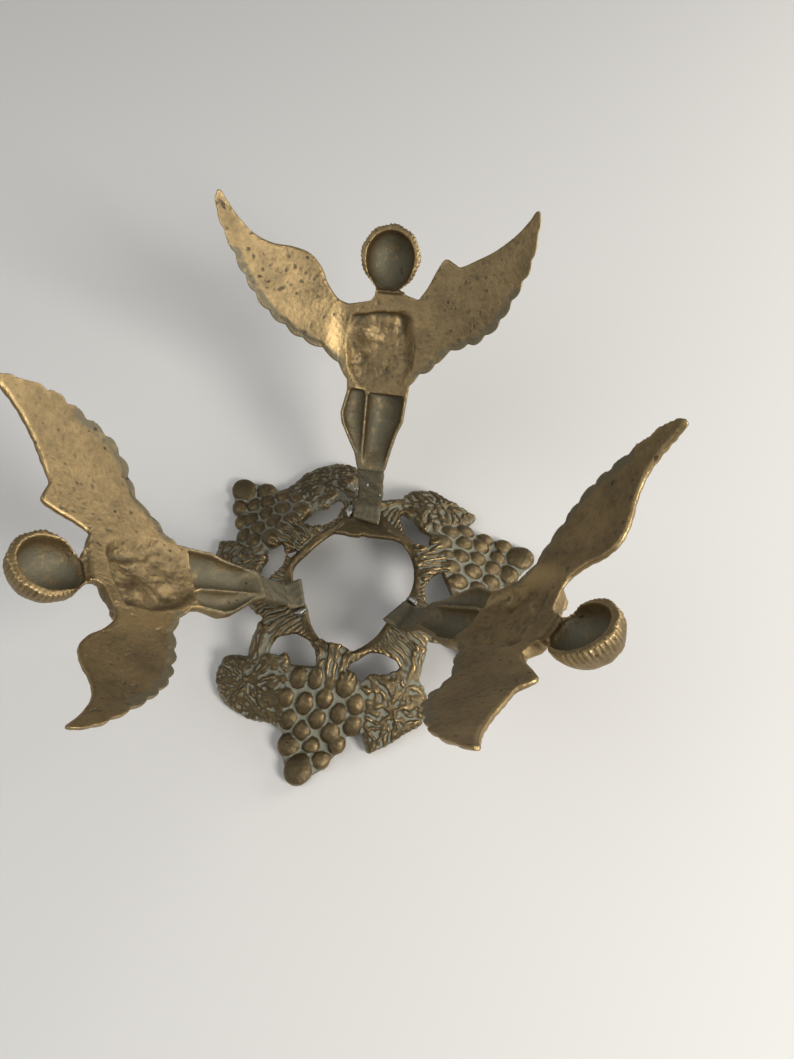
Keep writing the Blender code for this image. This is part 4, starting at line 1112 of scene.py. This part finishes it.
def aged_brass_group():
    """Old cast brass: gold on the high places, brown skin, green-grey bloom in the grooves, pits, and a
    painted highlight on the left wing's root.
    """
    tree = bpy.data.node_groups.new("aged brass", "ShaderNodeTree")
    face = tree.interface
    for name, value in (
        ("Gold", (0.5, 0.36, 0.14)), ("Brown", (0.16, 0.11, 0.05)), ("Bloom", (0.30, 0.34, 0.28)),
        ("Patina", (0.08, 0.09, 0.06)),
    ):
        made = face.new_socket(name, in_out="INPUT", socket_type="NodeSocketColor")
        made.default_value = (*value, 1.0)
    for name in ("Brownness", "Bloom amount", "Wear", "Pits", "Grain"):
        made = face.new_socket(name, in_out="INPUT", socket_type="NodeSocketFloat")
        made.default_value = 0.5
    face.new_socket("Color", in_out="OUTPUT", socket_type="NodeSocketColor")
    for name in ("Roughness", "Metallic", "Height"):
        face.new_socket(name, in_out="OUTPUT", socket_type="NodeSocketFloat")
    given = node(tree, "NodeGroupInput").outputs
    result = node(tree, "NodeGroupOutput").inputs
    place = node(tree, "ShaderNodeTexCoord").outputs["Object"]
    relief, hollow, low, painted_highlight, foot = (
        node(tree, "ShaderNodeAttribute", attribute_name=name).outputs["Fac"]
        for name in ("relief", "hollow", "low", "painted_highlight", "foot")
    )

    def calc(operation, a, b, c=None, clamp=False):
        return math_node(tree, operation, a, b, c, clamp)

    def add_up(total, *parts, clamp=False):
        """The total plus each part's value times its share, kept within 0 and 1 at the end if asked."""
        for k, (value, share) in enumerate(parts, 1):
            total = calc("MULTIPLY_ADD", value, share, total, clamp=clamp and k == len(parts))
        return total

    clouds = noise_node(tree, place, 0.011, 4.0)
    mottle = noise_node(tree, place, 0.0022, 5.0, 0.65)
    speckle = noise_node(tree, place, 0.0008, 3.0, 0.6)
    fine = noise_node(tree, place, 0.00028, 3.0, 0.6)

    raised = ramp(tree, relief, 0.20, 1.0)
    sunk = ramp(tree, calc("MULTIPLY", relief, -1.0), -0.10, 0.65)

    plain = calc("SUBTRACT", given["Brownness"], 1.15)
    worn = calc("MULTIPLY", given["Wear"], -1.0)
    # The left wing's root is painted less brown and more gold: a painted highlight.
    skin = add_up(plain, (mottle, 0.5), (clouds, 0.8), (raised, worn), (sunk, 0.35), (painted_highlight, -0.7))
    brown = ramp(tree, skin, -0.55, 0.65)
    colour = blend_colour(tree, brown, given["Gold"], given["Brown"])

    dusty = calc("MULTIPLY_ADD", low, 0.6, calc("MULTIPLY", sunk, 0.8))
    dusty = calc("MULTIPLY", dusty, mottle)
    patches = calc("MULTIPLY", dusty, ramp(tree, clouds, 0.12, 0.50))
    bloom = ramp(tree, calc("MULTIPLY", patches, given["Bloom amount"]), 0.10, 0.48)
    dull_places = calc("MULTIPLY_ADD", foot, 0.75, hollow, clamp=True)
    patina = calc("MULTIPLY", dull_places, ramp(tree, mottle, 0.22, 0.55), clamp=True)
    colour = blend_colour(tree, patina, colour, given["Patina"])
    colour = blend_colour(tree, bloom, colour, given["Bloom"])

    spots = noise_node(tree, place, 0.0021, 2.0, 0.4, (1.0, 1.0, 0.7))
    dots = calc("MULTIPLY", ramp(tree, spots, 0.675, 0.745), ramp(tree, clouds, 0.42, 0.62))
    dots = calc("MULTIPLY", dots, given["Pits"], clamp=True)
    colour = blend_colour(tree, calc("MULTIPLY", dots, 0.85), colour, (0.028, 0.022, 0.014))
    link(tree, colour, result["Color"])

    dull = add_up(
        0.36, (brown, 0.14), (raised, -0.10), (bloom, 0.30), (patina, 0.12), (fine, 0.14), clamp=True,
    )
    link(tree, dull, result["Roughness"])
    metal = add_up(1.0, (bloom, -0.80), (patina, -0.35), (dots, -0.4), clamp=True)
    link(tree, metal, result["Metallic"])
    height = add_up(0.0, (fine, 0.25), (mottle, 0.35), (speckle, 0.5))
    height = add_up(calc("MULTIPLY", height, given["Grain"]), (dots, -0.8))
    link(tree, height, result["Height"])
    return tree


def new_material(name):
    mat = bpy.data.materials.new(name)
    mat.use_nodes = True
    return mat, mat.node_tree, mat.node_tree.nodes["Principled BSDF"]


def brass(name, group, values, bump):
    """Brass with its own values for the shared ageing, and grain of this depth."""
    mat, tree, shader = new_material(name)
    aged = node(tree, "ShaderNodeGroup", node_tree=group)
    for key, value in values.items():
        aged.inputs[key].default_value = (*value, 1.0) if isinstance(value, tuple) else value
    for given, taken in (("Color", "Base Color"), ("Roughness", "Roughness"), ("Metallic", "Metallic")):
        link(tree, aged.outputs[given], shader.inputs[taken])
    bumps = node(tree, "ShaderNodeBump")
    bumps.inputs["Distance"].default_value = bump
    bumps.inputs["Strength"].default_value = 1.0
    link(tree, aged.outputs["Height"], bumps.inputs["Height"])
    link(tree, bumps.outputs["Normal"], shader.inputs["Normal"])
    return mat


def solder_metal():
    mat, tree, shader = new_material("dull solder")
    place = node(tree, "ShaderNodeTexCoord").outputs["Object"]
    tarnish = noise_node(tree, place, 0.0012, 4.0)
    colour = blend_colour(tree, ramp(tree, tarnish, 0.4, 0.65), (0.42, 0.405, 0.37), (0.17, 0.165, 0.14))
    link(tree, colour, shader.inputs["Base Color"])
    link(tree, math_node(tree, "MULTIPLY_ADD", tarnish, 0.5, 0.16), shader.inputs["Roughness"])
    shader.inputs["Metallic"].default_value = 1.0
    return mat


def floor_paint():
    mat, tree, shader = new_material("pale floor")
    shader.inputs["Base Color"].default_value = (0.70, 0.69, 0.67, 1.0)
    shader.inputs["Roughness"].default_value = 0.85
    return mat


# Putting it together


def piece(mesh, name, node_name, mat):
    """A finished piece that stands for a node of the solids."""
    mesh.shade_smooth()
    mesh.materials.clear()
    mesh.materials.append(mat)
    obj = add_object(name, mesh)
    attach(obj, "root")
    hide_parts(node_name)
    return obj


def build_holder():
    group = aged_brass_group()
    vine_brass = brass("vine brass", group, {
        "Gold": (0.28, 0.200, 0.098), "Brown": (0.094, 0.073, 0.042), "Bloom": (0.225, 0.220, 0.165),
        "Brownness": 0.86, "Bloom amount": 1.15, "Wear": 0.70, "Pits": 0.2, "Grain": 1.0,
    }, 0.00020)
    angel_brass = brass("angel brass", group, {
        "Gold": (0.42, 0.300, 0.142), "Brown": (0.138, 0.106, 0.062), "Patina": (0.150, 0.136, 0.090),
        "Bloom": (0.13, 0.12, 0.08), "Brownness": 0.62, "Bloom amount": 0.55, "Wear": 0.35, "Pits": 0.9,
        "Grain": 1.0,
    }, 0.00028)
    solder = solder_metal()
    wreath = wreath_cast()
    finish_wreath(wreath)
    ring = piece(wreath, "wreath_casting", "grape_wreath", vine_brass)
    ring.modifiers.new("fewer triangles", "DECIMATE").ratio = KEPT_SHARE
    cast = angel_cast()
    for i, (name, *placing) in enumerate(ANGELS):
        mesh = finish_angel(cast, name, 0.33 * i, placing)
        piece(mesh, name + "_casting", name, angel_brass)
        node_name = name.replace("angel", "solder")
        bead = solder_bead(*placing[:3])
        if name == "angel_back":
            extra = new_mesh(splashes(placing), "splashes")
            bead.from_mesh(extra)
            bpy.data.meshes.remove(extra)
        piece(new_mesh(bead, node_name), node_name + "_bead", node_name, solder)
    bpy.data.meshes.remove(cast)


def build_camera():
    data = bpy.data.cameras.new("camera")
    data.lens = LENS_MM
    data.sensor_width = SENSOR_MM
    data.sensor_fit = "AUTO"
    data.clip_start = 0.01
    ahead = Vector((0.0, math.cos(CAMERA_DOWN), -math.sin(CAMERA_DOWN)))
    up = Vector((0.0, math.sin(CAMERA_DOWN), math.cos(CAMERA_DOWN)))
    side = Vector((1.0, 0.0, 0.0))
    right = side * math.cos(CAMERA_ROLL) + up * math.sin(CAMERA_ROLL)
    top = -side * math.sin(CAMERA_ROLL) + up * math.cos(CAMERA_ROLL)
    turn = Matrix((right, top, -ahead)).transposed()
    turn = Matrix.Rotation(CAMERA_YAW, 3, "Z") @ turn
    camera = add_object("camera", data)
    place = Vector(CAMERA_PLACE) + Vector((AXIS_X, AXIS_Y, 0.0))
    camera.matrix_world = Matrix.Translation(place) @ turn.to_4x4()
    bpy.context.scene.camera = camera


def area_light(name, place, aim, size, power, colour):
    data = bpy.data.lights.new(name, "AREA")
    data.shape = "DISK"
    data.size = size
    data.energy = power
    data.color = colour
    obj = add_object(name, data)
    obj.location = place
    obj.rotation_euler = (Vector(aim) - Vector(place)).to_track_quat("-Z", "Y").to_euler()


def build_stage():
    """The pale floor, three soft lamps and a room that is dim apart from what the camera sees."""
    bm = bmesh.new()
    bmesh.ops.create_grid(bm, x_segments=1, y_segments=1, size=1.5)
    bmesh.ops.translate(bm, verts=bm.verts, vec=(0.0, 0.0, -0.0002))
    mesh = bpy.data.meshes.new("floor")
    bm.to_mesh(mesh)
    bm.free()
    mesh.materials.append(floor_paint())
    add_object("floor", mesh)

    area_light("window", (0.55, -0.35, 0.50), (0.0, 0.0, 0.04), 0.30, 5.0, (1.0, 0.97, 0.92))
    area_light("far window", (0.62, 0.34, 0.24), (0.0, 0.0, 0.05), 0.36, 2.2, (1.0, 0.97, 0.92))
    area_light("room", (-0.50, -0.20, 0.75), (0.0, 0.0, 0.04), 0.90, 2.2, (0.95, 0.97, 1.0))
    world = bpy.data.worlds.new("soft room")
    world.use_nodes = True
    tree = world.node_tree
    back = tree.nodes["Background"]
    back.inputs["Color"].default_value = (0.80, 0.80, 0.79, 1.0)
    direct = node(tree, "ShaderNodeLightPath").outputs["Is Camera Ray"]
    strength = math_node(tree, "MULTIPLY_ADD", direct, 0.64, 0.36)
    link(tree, strength, back.inputs["Strength"])
    bpy.context.scene.world = world
    bpy.context.scene.view_settings.view_transform = "Standard"


build_camera()
build_stage()
build_holder()
